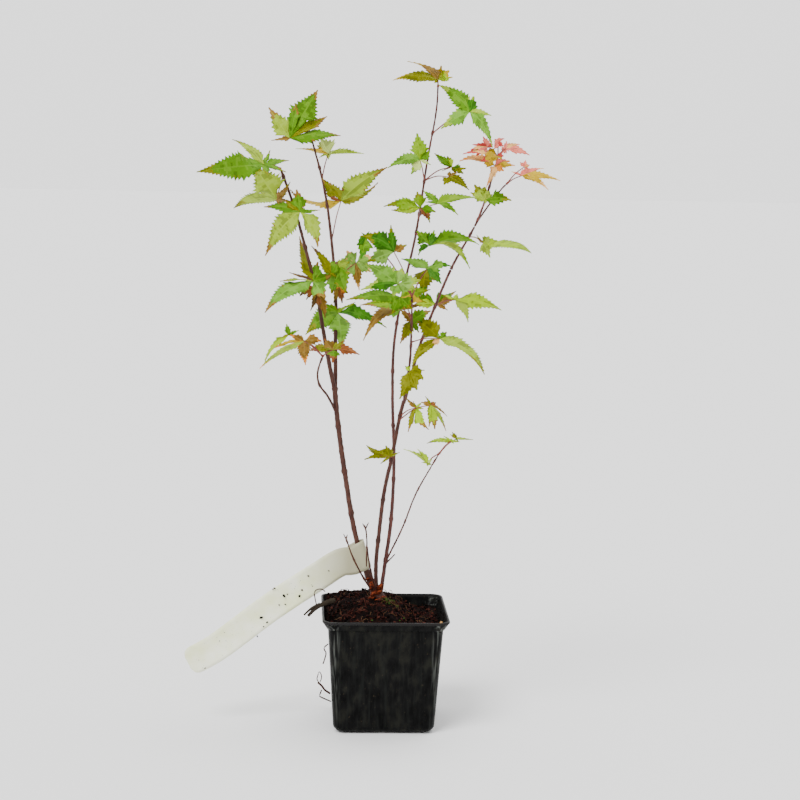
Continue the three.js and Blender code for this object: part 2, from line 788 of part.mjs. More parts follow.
// Label: a flat section carried along the blade, round the trunk and back behind the blade
function makeLabel() {
  const rise = THREE.MathUtils.degToRad(LABEL.loopRise);
  const stand = THREE.MathUtils.degToRad(LABEL.trunkLean);
  const hub = sighted(...LABEL.atTrunk);
  const onLoop = (u, v) => {
    const shift = new THREE.Vector3(u * Math.cos(rise), v, u * Math.sin(rise));
    return turned(shift.add(hub));
  };
  const path = LABEL.blade.map(seen);
  path.push(onLoop(-LABEL.approach, CUT_GAP - LABEL.loopRadius));
  for (let angle = -90; angle <= 90; angle += 30) {
    const bend = THREE.MathUtils.degToRad(angle);
    path.push(onLoop(LABEL.loopRadius * Math.cos(bend), LABEL.loopRadius * Math.sin(bend)));
  }
  path.push(onLoop(-LABEL.tuck, LABEL.loopRadius));
  const curve = smoothCurve(path);
  const upright = turned(new THREE.Vector3(-Math.sin(stand), 0, Math.cos(stand)));
  const viewer = turned(new THREE.Vector3(0, -1, 0));
  const length = curve.getLength();
  const rings = [];
  for (let i = 0; i <= LABEL.steps; i += 1) {
    const share = i / LABEL.steps;
    const along = curve.getTangentAt(share);
    const middle = curve.getPointAt(share);
    const turn = THREE.MathUtils.smoothstep(share, LABEL.turnFrom, LABEL.turnTo);
    const wide = viewer.clone().cross(along).normalize().lerp(upright, turn);
    wide.addScaledVector(along, -wide.dot(along)).normalize();
    const thin = along.clone().cross(wide);
    const fromEnd = Math.min(share, 1 - share) * length;
    const inside = Math.min(1, fromEnd / LABEL.endRound);
    const round = Math.sqrt(1 - (1 - inside) ** 2);
    const half = (LABEL.width / 2) * THREE.MathUtils.lerp(LABEL.endShare, 1, round);
    rings.push([[half, -1], [half, 1], [-half, 1], [-half, -1]].map(([w, t]) => middle.clone()
      .addScaledVector(wide, w)
      .addScaledVector(thin, (t * LABEL.thickness) / 2)));
  }
  return loft(rings);
}

function makeSolids() {
  const solids = { pot: makePot() };
  for (const [name, limb] of Object.entries(LIMBS)) {
    let solid = makeLimb(limb);
    for (const other of [limb.parent, ...(limb.clear ?? [])].filter(Boolean)) {
      solid = solid.subtract(makeLimb({ ...LIMBS[other], grow: CUT_GAP }));
    }
    solids[name] = largestPiece(solid);
  }
  solids.soil = makeSoil().subtract(makeLimb({ ...LIMBS.trunk, grow: CUT_GAP }));
  solids.plant_label = makeLabel();
  const firstSeed = 11;
  Object.entries(FOLIAGE).forEach(([name, mass], i) => {
    const clear = makeLimb({ ...LIMBS[mass.limb], grow: CUT_GAP });
    solids[name] = largestPiece(makeFoliage(mass, firstSeed + i).subtract(clear).simplify(FACE_TOLERANCE));
  });
  return solids;
}

const solids = makeSolids();
addSolid('pot', solids.pot, COLOURS.pot);
addSolid('soil', solids.soil, COLOURS.soil);
for (const [name, limb] of Object.entries(LIMBS)) {
  addSolid(name, solids[name], limb.finish);
}
addSolid('plant_label', solids.plant_label, COLOURS.label);
for (const [name, mass] of Object.entries(FOLIAGE)) {
  addSolid(name, solids[name], mass.finish ?? COLOURS.green);
}

export default plant;
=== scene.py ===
import math
import random

import bpy
import numpy as np
from mathutils import Matrix, Vector, noise


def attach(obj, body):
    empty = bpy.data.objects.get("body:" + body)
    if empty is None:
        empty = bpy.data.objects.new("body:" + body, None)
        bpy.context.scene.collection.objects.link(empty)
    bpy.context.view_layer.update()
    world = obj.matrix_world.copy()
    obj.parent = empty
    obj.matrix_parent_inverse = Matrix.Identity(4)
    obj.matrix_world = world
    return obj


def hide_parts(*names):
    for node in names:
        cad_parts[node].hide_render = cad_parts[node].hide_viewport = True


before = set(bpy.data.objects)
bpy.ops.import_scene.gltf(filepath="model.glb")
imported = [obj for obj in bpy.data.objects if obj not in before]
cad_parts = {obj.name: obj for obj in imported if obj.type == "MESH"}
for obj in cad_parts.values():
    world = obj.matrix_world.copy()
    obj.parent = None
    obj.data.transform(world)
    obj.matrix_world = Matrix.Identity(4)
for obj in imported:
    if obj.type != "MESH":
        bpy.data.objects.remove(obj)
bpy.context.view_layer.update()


# Pot
# A square nursery pot, moulded from thin black plastic. It tapers to a rounded foot, flares into a
# slanting collar under the rim, and a fine bead stiffens the top edge. Each side of the foot is notched.
RIM_WIDTH = 0.110
RIM_HEIGHT = 0.1015
COLLAR_DEPTH = 0.0088
BEAD_DEPTH = 0.0022
COLLAR_TOP = 0.1084
COLLAR_FOOT = 0.102
BODY_TOP = 0.0995
BODY_FOOT = 0.0875
WALL = 0.0013
FOOT_ROUND = 0.007
CORNER = 0.009
NOTCH_LONG, NOTCH_DEEP, NOTCH_HIGH = 0.018, 0.012, 0.0026
POT_SMOOTH_BELOW = math.radians(32)
POT_BLACK, POT_ROUGHNESS, POT_SHEEN = (10, 10, 11), 0.34, 0.05
STREAK_GRAIN, CLOUD_GRAIN, SPECK_GRAIN = (420, 420, 12), (130, 130, 70), 420
# The corner grey and the rim grey are painted highlight, pale where the glossy plastic would reflect the
# lamps
STREAK_GREY, CORNER_HIGHLIGHT_GREY, RIM_HIGHLIGHT_GREY, DUST = (28, 30, 28), (132, 136, 130), (34, 33, 33), (56, 48, 36)
CORNER_HIGHLIGHT_FROM, CORNER_HIGHLIGHT_TO = 0.0385, 0.046
# Where the painted highlight along the rim fades in, just below the bead
RIM_HIGHLIGHT_FROM, RIM_HIGHLIGHT_TO = 0.0986, 0.0998


def tone(red, green, blue):
    """A colour given as 0 to 255 on screen, as the shader wants it."""
    parts = []
    for part in (red, green, blue):
        part /= 255
        parts.append(part / 12.92 if part <= 0.04045 else ((part + 0.055) / 1.055) ** 2.4)
    return (*parts, 1.0)


def grey(value):
    return (value, value, value, 1.0)


def plain_material(name, colour, roughness, specular):
    """A material with one colour, and its node tree ready for more."""
    material = bpy.data.materials.new(name)
    material.use_nodes = True
    shader = material.node_tree.nodes["Principled BSDF"]
    shader.inputs["Base Color"].default_value = colour
    shader.inputs["Roughness"].default_value = roughness
    shader.inputs["Specular IOR Level"].default_value = specular
    return material, material.node_tree.nodes, material.node_tree.links, shader


def object_noise(nodes, links, scale, detail, stretch=(1, 1, 1)):
    """Noise on the piece's own coordinates, stretched where the real marks are long."""
    place = nodes.new("ShaderNodeTexCoord")
    mapping = nodes.new("ShaderNodeMapping")
    mapping.inputs["Scale"].default_value = stretch
    links.new(place.outputs["Object"], mapping.inputs["Vector"])
    texture = nodes.new("ShaderNodeTexNoise")
    texture.inputs["Scale"].default_value = scale
    texture.inputs["Detail"].default_value = detail
    links.new(mapping.outputs["Vector"], texture.inputs["Vector"])
    return texture.outputs["Fac"]


def ramp(nodes, links, source, stops):
    """The colours of a ramp with the given stops of place and colour."""
    node = nodes.new("ShaderNodeValToRGB")
    while len(node.color_ramp.elements) < len(stops):
        node.color_ramp.elements.new(0.5)
    for element, (place, colour) in zip(node.color_ramp.elements, stops):
        element.position = place
        element.color = colour
    links.new(source, node.inputs["Fac"])
    return node.outputs["Color"]


def add_bump(nodes, links, shader, height, strength, distance):
    """A bump from a height, under the shader's normal."""
    bump = nodes.new("ShaderNodeBump")
    bump.inputs["Strength"].default_value = strength
    bump.inputs["Distance"].default_value = distance
    links.new(height, bump.inputs["Height"])
    links.new(bump.outputs["Normal"], shader.inputs["Normal"])


def mix_colours(nodes, links, factor, first, second):
    """Two colours mixed by a factor. Each of the three is an output or a plain value."""
    node = nodes.new("ShaderNodeMix")
    node.data_type = "RGBA"
    for key, value in (("Factor", factor), ("A", first), ("B", second)):
        if isinstance(value, (float, tuple)):
            node.inputs[key].default_value = value
        else:
            links.new(value, node.inputs[key])
    return node.outputs["Result"]


def along_axis(nodes, links, axis, low, high, both_ways=False):
    """0 to 1 as one of the piece's own coordinates goes from low to high."""
    place = nodes.new("ShaderNodeTexCoord")
    split = nodes.new("ShaderNodeSeparateXYZ")
    links.new(place.outputs["Object"], split.inputs["Vector"])
    value = split.outputs[axis]
    if both_ways:
        size = nodes.new("ShaderNodeMath")
        size.operation = "ABSOLUTE"
        links.new(value, size.inputs[0])
        value = size.outputs["Value"]
    span = nodes.new("ShaderNodeMapRange")
    span.inputs["From Min"].default_value = low
    span.inputs["From Max"].default_value = high
    links.new(value, span.inputs["Value"])
    return span.outputs["Result"]


def product(nodes, links, first, second):
    node = nodes.new("ShaderNodeMath")
    node.operation = "MULTIPLY"
    links.new(first, node.inputs[0])
    links.new(second, node.inputs[1])
    return node.outputs["Value"]


def apply_modifiers(piece):
    """Applies all the modifiers of a piece, with no other object selected."""
    bpy.ops.object.select_all(action="DESELECT")
    piece.select_set(True)
    bpy.context.view_layer.objects.active = piece
    for modifier in list(piece.modifiers):
        bpy.ops.object.modifier_apply(modifier=modifier.name)


collar_foot = RIM_HEIGHT - COLLAR_DEPTH
collar_top = RIM_HEIGHT - BEAD_DEPTH


def body_width(height):
    """How wide the pot's body is outside, at a height below the collar."""
    return BODY_FOOT + (BODY_TOP - BODY_FOOT) * height / collar_foot


# The pot's outline as heights and widths: up its outside, over the bead and down its inside to the floor
pot_profile = []
for angle in (15, 30, 45, 60, 75, 90):
    bend = math.radians(angle)
    height = FOOT_ROUND * (1 - math.cos(bend))
    pot_profile.append((height, body_width(height) - 2 * FOOT_ROUND * (1 - math.sin(bend))))
for share in (0.2, 0.35, 0.5, 0.65, 0.8, 1.0):
    height = FOOT_ROUND + share * (collar_foot - FOOT_ROUND)
    pot_profile.append((height, body_width(height)))
pot_profile += [
    (collar_foot + 0.0004, COLLAR_FOOT - 0.0008),
    (collar_foot + 0.0010, COLLAR_FOOT),
    (collar_top - 0.0006, COLLAR_TOP - 0.0003),
    (collar_top, COLLAR_TOP),
    (collar_top + 0.0003, RIM_WIDTH - 0.0004),
    (collar_top + 0.0009, RIM_WIDTH),
    (RIM_HEIGHT - 0.0006, RIM_WIDTH),
    (RIM_HEIGHT - 0.0001, RIM_WIDTH - 0.0006),
    (RIM_HEIGHT, RIM_WIDTH - 0.0014),
    (RIM_HEIGHT, COLLAR_TOP - 2 * WALL + 0.0006),
    (RIM_HEIGHT - 0.0008, COLLAR_TOP - 2 * WALL),
    (collar_top, COLLAR_TOP - 2 * WALL - 0.0002),
    (collar_foot, BODY_TOP - 2 * WALL),
    (FOOT_ROUND, body_width(FOOT_ROUND) - 2 * WALL),
    (0.002, BODY_FOOT - 2 * FOOT_ROUND),
]

bpy.ops.object.select_all(action="DESELECT")
bpy.ops.mesh.primitive_plane_add(size=1)
pot = bpy.context.object
pot.name = "pot_shell"
bpy.ops.object.mode_set(mode="EDIT")
bpy.ops.mesh.select_all(action="SELECT")
foot_width = BODY_FOOT - 2 * FOOT_ROUND
bpy.ops.transform.resize(value=(foot_width, foot_width, 1))
bpy.ops.mesh.bevel(offset=CORNER * foot_width / BODY_TOP, segments=8, affect="VERTICES")
last_height, last_width = 0, foot_width
for height, width in pot_profile:
    bpy.ops.mesh.extrude_region_move(TRANSFORM_OT_translate={"value": (0, 0, height - last_height)})
    scale = width / last_width
    bpy.ops.transform.resize(value=(scale, scale, 1), center_override=(0, 0, height))
    last_height, last_width = height, width
bpy.ops.mesh.select_all(action="SELECT")
bpy.ops.mesh.normals_make_consistent(inside=False)
bpy.ops.object.mode_set(mode="OBJECT")

notches = []
for quarter in range(4):
    bpy.ops.mesh.primitive_cube_add(size=1)
    notch = bpy.context.object
    notch.scale = (NOTCH_LONG, NOTCH_DEEP, NOTCH_HIGH)
    middle = Vector((0, (FOOT_ROUND - BODY_FOOT) / 2, 0))
    notch.location = Matrix.Rotation(quarter * math.pi / 2, 3, "Z") @ middle
    notch.rotation_euler = (0, 0, quarter * math.pi / 2)
    cut = pot.modifiers.new("foot_notch", "BOOLEAN")
    cut.operation = "DIFFERENCE"
    cut.object = notch
    notches.append(notch)
apply_modifiers(pot)
for notch in notches:
    bpy.data.objects.remove(notch)
bpy.ops.object.shade_smooth_by_angle(angle=POT_SMOOTH_BELOW)

# The plastic is cloudy, finely streaked and dusty. Its pale corner streaks and paler rim are painted
# highlight.
pot_material, nodes, links, shader = plain_material(
    "black_pot_plastic", tone(*POT_BLACK), POT_ROUGHNESS, POT_SHEEN
)
streaks = object_noise(nodes, links, 1.0, 4, STREAK_GRAIN)
cloud = object_noise(nodes, links, 1.0, 5, CLOUD_GRAIN)
speck = object_noise(nodes, links, SPECK_GRAIN, 2)
stops = [(0.36, tone(3, 3, 3)), (0.52, tone(12, 12, 12)), (0.68, tone(27, 27, 23))]
base = ramp(nodes, links, cloud, stops)
fine = ramp(nodes, links, streaks, [(0.5, grey(0)), (0.72, grey(0.5))])
base = mix_colours(nodes, links, fine, base, tone(*STREAK_GREY))
# Painted highlight: pale streaks on the rounded corners, where the plastic would reflect the lamps
near_corner = [along_axis(nodes, links, axis, CORNER_HIGHLIGHT_FROM, CORNER_HIGHLIGHT_TO, True) for axis in "XY"]
corner_highlight = product(nodes, links, product(nodes, links, *near_corner), fine)
base = mix_colours(nodes, links, corner_highlight, base, tone(*CORNER_HIGHLIGHT_GREY))
# Painted highlight: a paler band from just below the bead up over the rim
rim_highlight = along_axis(nodes, links, "Z", RIM_HIGHLIGHT_FROM, RIM_HIGHLIGHT_TO)
base = mix_colours(nodes, links, rim_highlight, base, tone(*RIM_HIGHLIGHT_GREY))
dusty = ramp(nodes, links, speck, [(0.68, grey(0)), (0.78, grey(0.7))])
base = mix_colours(nodes, links, dusty, base, tone(*DUST))
links.new(base, shader.inputs["Base Color"])
gloss = ramp(nodes, links, streaks, [(0.3, grey(0.2)), (0.72, grey(0.5))])
links.new(gloss, shader.inputs["Roughness"])
add_bump(nodes, links, shader, streaks, 0.6, 0.0006)
pot.data.materials.append(pot_material)
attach(pot, "root")
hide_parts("pot")


# Soil
# Damp dark peat with bits of bark, pressed into the pot and heaped behind the stems. On the right it has
# sunk well below the rim, so the inside of the wall shows there.
SOIL_LOW = 0.0915
SOIL_RISE = 0.016
HEAP_X, HEAP_Y = -0.017, 0.018
HEAP_WIDE, HEAP_DEEP = 0.036, 0.066
INNER_RIM = COLLAR_TOP - 2 * WALL
SOIL_FOOT = 0.078
EDGE_BELOW_RIM, EDGE_SLOPE = 0.004, 0.75
SOIL_LUMPS = ((90, 0.0016), (230, 0.0012))
CRUMBLE_OFTEN, CRUMBLE_HIGH = 520, 0.0011
BED_GRID = 130
WALL_GAP, FOOT_GAP = 0.0006, 0.001
SKIRT = 0.02
SOIL_SMOOTH_BELOW = math.radians(50)


def soil_height(x, y):
    """The soil's plain top: a heap behind the stems, no higher at the wall than a little under the rim."""
    across = math.exp(-(((x - HEAP_X) / HEAP_WIDE) ** 4))
    along = math.exp(-(((y - HEAP_Y) / HEAP_DEEP) ** 4))
    inset = max(0, INNER_RIM / 2 - max(abs(x), abs(y)))
    return min(SOIL_LOW + SOIL_RISE * across * along, RIM_HEIGHT - EDGE_BELOW_RIM + EDGE_SLOPE * inset)


def soil_surface(x, y):
    """The soil's crumbly top: the heap with lumps of several sizes on it."""
    place = Vector((x, y, 0))
    lumps = sum(noise.noise(place * often) * high for often, high in SOIL_LUMPS)
    return soil_height(x, y) + lumps + abs(noise.noise(place * CRUMBLE_OFTEN)) * CRUMBLE_HIGH


def mottled_material(name, colour, roughness, specular, grain, stops, strength, relief):
    """A material whose colour and relief follow one noise. Its grain is scale, detail and stretch."""
    material, nodes, links, shader = plain_material(name, colour, roughness, specular)
    texture = object_noise(nodes, links, *grain)
    links.new(ramp(nodes, links, texture, stops), shader.inputs["Base Color"])
    add_bump(nodes, links, shader, texture, strength, relief)
    return material


bpy.ops.object.select_all(action="DESELECT")
bpy.ops.mesh.primitive_grid_add(x_subdivisions=BED_GRID, y_subdivisions=BED_GRID, size=1)
soil = bpy.context.object
soil.name = "soil_bed"
for vertex in soil.data.vertices:
    x, y = vertex.co.x * INNER_RIM, vertex.co.y * INNER_RIM
    reach = INNER_RIM / 2 - CORNER
    over_x, over_y = (abs(x) - reach) / CORNER, (abs(y) - reach) / CORNER
    if over_x > 0 and over_y > 0:
        x = math.copysign(reach + CORNER * over_x * math.sqrt(1 - over_y**2 / 2), x)
        y = math.copysign(reach + CORNER * over_y * math.sqrt(1 - over_x**2 / 2), y)
    height = soil_surface(x, y)
    share = min(1, max(0, (height - collar_foot) / (collar_top - collar_foot)))
    wall_here = body_width(min(height, collar_foot)) - 2 * WALL
    fit = (wall_here + (INNER_RIM - wall_here) * share - WALL_GAP) / INNER_RIM
    vertex.co = (x * fit, y * fit, height)
bpy.ops.object.mode_set(mode="EDIT")
bpy.ops.mesh.select_mode(type="EDGE")
bpy.ops.mesh.select_all(action="DESELECT")
bpy.ops.mesh.select_non_manifold()
bpy.ops.mesh.extrude_region_move(TRANSFORM_OT_translate={"value": (0, 0, -SKIRT)})
sunk = (body_width(SOIL_FOOT) - 2 * WALL - FOOT_GAP) / (INNER_RIM - WALL_GAP)
bpy.ops.transform.resize(value=(sunk, sunk, 0), center_override=(0, 0, SOIL_FOOT))
bpy.ops.mesh.edge_face_add()
bpy.ops.mesh.select_all(action="SELECT")
bpy.ops.mesh.normals_make_consistent(inside=False)
bpy.ops.object.mode_set(mode="OBJECT")
bpy.ops.object.shade_smooth_by_angle(angle=SOIL_SMOOTH_BELOW)

stops = [(0.34, tone(5, 2, 2)), (0.52, tone(13, 6, 5)), (0.68, tone(32, 16, 11)), (0.8, tone(60, 36, 24))]
soil_material = mottled_material("damp_peat", tone(34, 24, 18), 0.9, 0.06, (480, 6), stops, 0.9, 0.0012)
soil.data.materials.append(soil_material)
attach(soil, "root")
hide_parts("soil")


# Crumbs, moss and fibres on the soil
# Loose peat crumbs, chips of bark, a tuft of moss and short root fibres that lie on the bed. They are
# about two thousand small solids joined into one piece, most of them sunk a little way in.
CRUMB_COUNT, CRUMB_LEAST, CRUMB_EXTRA = 1700, 0.0005, 0.0016
CRUMB_SHOWS, CRUMB_FREE_EDGE = 0.3, 0.004
FIBRE_COUNT, FIBRE_RADIUS, FIBRE_LONG = 190, 0.00022, (0.003, 0.010)
FIBRE_SPREAD, FIBRE_RISES = 0.92, (0, 0, 0.001, 0.003)
FIBRE_LIFT, FIBRE_WAVE, FIBRE_SWAY = 0.0005, 0.0008, 0.0012
MOSS_COUNT, MOSS_SIZE, MOSS_HIGH = 110, (0.0006, 0.0013), 0.0022
MOSS_X, MOSS_Y = 0.004, 0.002
MOSS_WIDE, MOSS_DEEP = 0.0035, 0.0045
CHIP_PLACE, CHIP_SIZE = Vector((0.0475, -0.044, 0.0985)), 0.0030
GREEN_SPECKS = ((0.012, -0.036), (0.016, -0.030), (-0.012, -0.040), (0.010, -0.010))
SPECK_SIZE, SPECK_LIFT = 0.0012, 0.001
# The places of the materials in the list below
PEAT, BARK, LIGHT_BARK, FIBRE, CHIP, MOSS, DRY_MOSS = range(7)


def joined_mesh(name, points, faces, indices, materials, smooth=False):
    """One object made from points and faces, with the number of each face's material."""
    mesh = bpy.data.meshes.new(name)
    mesh.from_pydata([tuple(p) for p in points], [], faces)
    for material in materials:
        mesh.materials.append(material)
    mesh.polygons.foreach_set("material_index", indices)
    mesh.polygons.foreach_set("use_smooth", [smooth] * len(faces))
    mesh.update()
    piece = bpy.data.objects.new(name, mesh)
    bpy.context.scene.collection.objects.link(piece)
    return piece


# A lump starts as an icosahedron. These are its chances to be shallow, low and rough.
LUMP_DEPTH, LUMP_HEIGHT, LUMP_ROUGHNESS = (0.5, 1), (0.35, 0.8), (0.8, 1.15)
GOLDEN = (1 + math.sqrt(5)) / 2
LUMP_CORNERS = [
    Vector(c).normalized()
    for c in (
        (-1, GOLDEN, 0), (1, GOLDEN, 0), (-1, -GOLDEN, 0), (1, -GOLDEN, 0),
        (0, -1, GOLDEN), (0, 1, GOLDEN), (0, -1, -GOLDEN), (0, 1, -GOLDEN),
        (GOLDEN, 0, -1), (GOLDEN, 0, 1), (-GOLDEN, 0, -1), (-GOLDEN, 0, 1),
    )
]
LUMP_FACES = [
    (0, 11, 5), (0, 5, 1), (0, 1, 7), (0, 7, 10), (0, 10, 11), (1, 5, 9), (5, 11, 4), (11, 10, 2), (10, 7, 6),
    (7, 1, 8), (3, 9, 4), (3, 4, 2), (3, 2, 6), (3, 6, 8), (3, 8, 9), (4, 9, 5), (2, 4, 11), (6, 2, 10),
    (8, 6, 7), (9, 8, 1),
]


def add_lump(points, faces, indices, middle, size, chance, index):
    """One crumb: a rough lump of 20 faces, squashed and turned by chance."""
    first = len(points)
    axis = Vector((chance.uniform(-1, 1), chance.uniform(-1, 1), 1))
    turn = Matrix.Rotation(chance.uniform(0, math.tau), 3, axis)
    squash = Vector((1, chance.uniform(*LUMP_DEPTH), chance.uniform(*LUMP_HEIGHT)))
    for corner in LUMP_CORNERS:
        rough = Vector([c * s * size * chance.uniform(*LUMP_ROUGHNESS) for c, s in zip(corner, squash)])
        points.append(middle + turn @ rough)
    faces.extend(tuple(first + i for i in face) for face in LUMP_FACES)
    indices.extend([index] * len(LUMP_FACES))


def add_thread(points, faces, indices, places, radii, index, sides):
    """A closed tube through places, with a radius at each, as for fibres, stalks and stems."""
    first = len(points)
    count = len(places)
    for i, place in enumerate(places):
        along = (places[min(i + 1, count - 1)] - places[max(i - 1, 0)]).normalized()
        helper = Vector((0, 0, 1)) if abs(along.z) < 0.9 else Vector((1, 0, 0))
        aside = helper.cross(along).normalized()
        other = along.cross(aside)
        for j in range(sides):
            angle = math.tau * j / sides
            points.append(place + (aside * math.cos(angle) + other * math.sin(angle)) * radii[i])
    for i in range(count - 1):
        for j in range(sides):
            a, b = first + i * sides + j, first + i * sides + (j + 1) % sides
            faces.append((a, b, b + sides, a + sides))
    faces.append(tuple(first + j for j in reversed(range(sides))))
    faces.append(tuple(first + (count - 1) * sides + j for j in range(sides)))
    indices.extend([index] * ((count - 1) * sides + 2))


def grained_material(name, colour, roughness, specular, grain, relief):
    """One base colour, with a fine grain in its gloss and its relief."""
    material, nodes, links, shader = plain_material(name, colour, roughness, specular)
    texture = object_noise(nodes, links, grain, 3)
    gloss = ramp(nodes, links, texture, [(0.3, grey(roughness - 0.1)), (0.7, grey(roughness + 0.1))])
    links.new(gloss, shader.inputs["Roughness"])
    add_bump(nodes, links, shader, texture, 0.6, relief)
    return material


chance = random.Random(41)
points, faces, indices = [], [], []
half_bed = INNER_RIM / 2 - CRUMB_FREE_EDGE
for _ in range(CRUMB_COUNT):
    x, y = chance.uniform(-half_bed, half_bed), chance.uniform(-half_bed, half_bed)
    size = CRUMB_LEAST + CRUMB_EXTRA * chance.random() ** 3
    middle = Vector((x, y, soil_surface(x, y) + size * CRUMB_SHOWS))
    kind = chance.choice((PEAT, PEAT, PEAT, BARK, BARK, LIGHT_BARK))
    add_lump(points, faces, indices, middle, size, chance, kind)
for _ in range(MOSS_COUNT):
    x, y = chance.gauss(MOSS_X, MOSS_WIDE), chance.gauss(MOSS_Y, MOSS_DEEP)
    size = chance.uniform(*MOSS_SIZE)
    middle = Vector((x, y, soil_surface(x, y) + chance.uniform(0, MOSS_HIGH)))
    add_lump(points, faces, indices, middle, size, chance, chance.choice((BARK, MOSS, DRY_MOSS, DRY_MOSS)))
for _ in range(FIBRE_COUNT):
    x, y = [chance.uniform(-half_bed, half_bed) * FIBRE_SPREAD for _ in "xy"]
    heading = chance.uniform(0, math.tau)
    length = chance.uniform(*FIBRE_LONG)
    rise = chance.choice(FIBRE_RISES)
    places = []
    for i in range(5):
        step = (i / 4 - 0.5) * length
        px = x + math.cos(heading) * step
        py = y + math.sin(heading) * step + FIBRE_SWAY * math.sin(i * 1.7)
        lift = FIBRE_LIFT + FIBRE_WAVE * math.sin(i) + rise * i / 4
        places.append(Vector((px, py, soil_surface(px, py) + lift)))
    kind = chance.choice((BARK, LIGHT_BARK, LIGHT_BARK, FIBRE))
    add_thread(points, faces, indices, places, [FIBRE_RADIUS] * len(places), kind, 3)
add_lump(points, faces, indices, CHIP_PLACE, CHIP_SIZE, chance, CHIP)
for x, y in GREEN_SPECKS:
    middle = Vector((x, y, soil_surface(x, y) + SPECK_LIFT))
    add_lump(points, faces, indices, middle, SPECK_SIZE, chance, MOSS)
crumb_materials = [
    grained_material("peat_crumb", tone(9, 4, 3), 0.85, 0.06, 900, 0.0004),
    grained_material("bark_crumb", tone(38, 13, 10), 0.8, 0.08, 900, 0.0004),
    grained_material("light_bark_crumb", tone(64, 30, 22), 0.8, 0.1, 900, 0.0003),
    grained_material("root_fibre", tone(92, 66, 44), 0.8, 0.1, 1500, 0.0001),
    grained_material("wood_chip", tone(176, 132, 78), 0.7, 0.3, 700, 0.0003),
    grained_material("moss_fleck", tone(44, 70, 16), 0.8, 0.2, 1500, 0.0002),
    grained_material("dry_moss", tone(66, 58, 22), 0.85, 0.15, 1500, 0.0002),
]
crumbs = joined_mesh("soil_crumbs", points, faces, indices, crumb_materials)
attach(crumbs, "root")


# Stems
# Thin woody stems grow from one lumpy crown at soil level. The thickest forks into two leaders high up,
# and leaf pairs have left knots along all of them. Smooth red-brown bark, ridged low down.
EYE_SIDE, EYE_DISTANCE, EYE_HEIGHT, EYE_TURN = 10.25, 1666.0, 514.7, 0.055
EYE_PITCH, EYE_ROLL = 0.136, -0.021
VIEW_SIZE, VIEW_FOCUS = 800, 1934.7


def sighted(column, row, back):
    """A place in mm as the viewer counts it, right, away and up, from its column and row in the view."""
    aside, above = (column - VIEW_SIZE / 2) / VIEW_FOCUS, (VIEW_SIZE / 2 - row) / VIEW_FOCUS
    u = aside * math.cos(EYE_ROLL) + above * math.sin(EYE_ROLL)
    v = above * math.cos(EYE_ROLL) - aside * math.sin(EYE_ROLL)
    away = math.cos(EYE_PITCH) + v * math.sin(EYE_PITCH)
    up = v * math.cos(EYE_PITCH) - math.sin(EYE_PITCH)
    reach = (EYE_DISTANCE + back) / away
    return Vector((EYE_SIDE + u * reach, back, EYE_HEIGHT + up * reach))


def turned(place):
    """A place or direction as the viewer counts it, in the frame's axes."""
    cosine, sine = math.cos(EYE_TURN), math.sin(EYE_TURN)
    right, away, up = place
    return Vector((right * cosine + away * sine, away * cosine - right * sine, up))


def seen(reading):
    """A place in the frame, in metres, from its reading as column, row and back."""
    return turned(sighted(*reading)) * 0.001


CURVE_PARTS = 24


def smooth_route(places, step):
    """Evenly spaced points on a smooth curve through the places."""
    route = []
    count = len(places)
    for i in range(count - 1):
        b, c = places[i], places[i + 1]
        a = places[i - 1] if i else b * 2 - c
        d = places[i + 2] if i + 2 < count else c * 2 - b
        pace = [max(1e-6, (q - p).length ** 0.5) for p, q in ((a, b), (b, c), (c, d))]
        leave = ((b - a) / pace[0] - (c - a) / (pace[0] + pace[1]) + (c - b) / pace[1]) * pace[1]
        reach = ((c - b) / pace[1] - (d - b) / (pace[1] + pace[2]) + (d - c) / pace[2]) * pace[1]
        for k in range(CURVE_PARTS):
            t = k / CURVE_PARTS
            route.append(
                b * (2 * t**3 - 3 * t**2 + 1)
                + leave * (t**3 - 2 * t**2 + t)
                + c * (-2 * t**3 + 3 * t**2)
                + reach * (t**3 - t**2)
            )
    route.append(places[-1])
    lengths = np.cumsum([0] + [(q - p).length for p, q in zip(route, route[1:])])
    wanted = np.linspace(0, lengths[-1], max(3, round(lengths[-1] / step) + 1))
    columns = [np.interp(wanted, lengths, [p[k] for p in route]) for k in range(3)]
    return [Vector(p) for p in zip(*columns)]


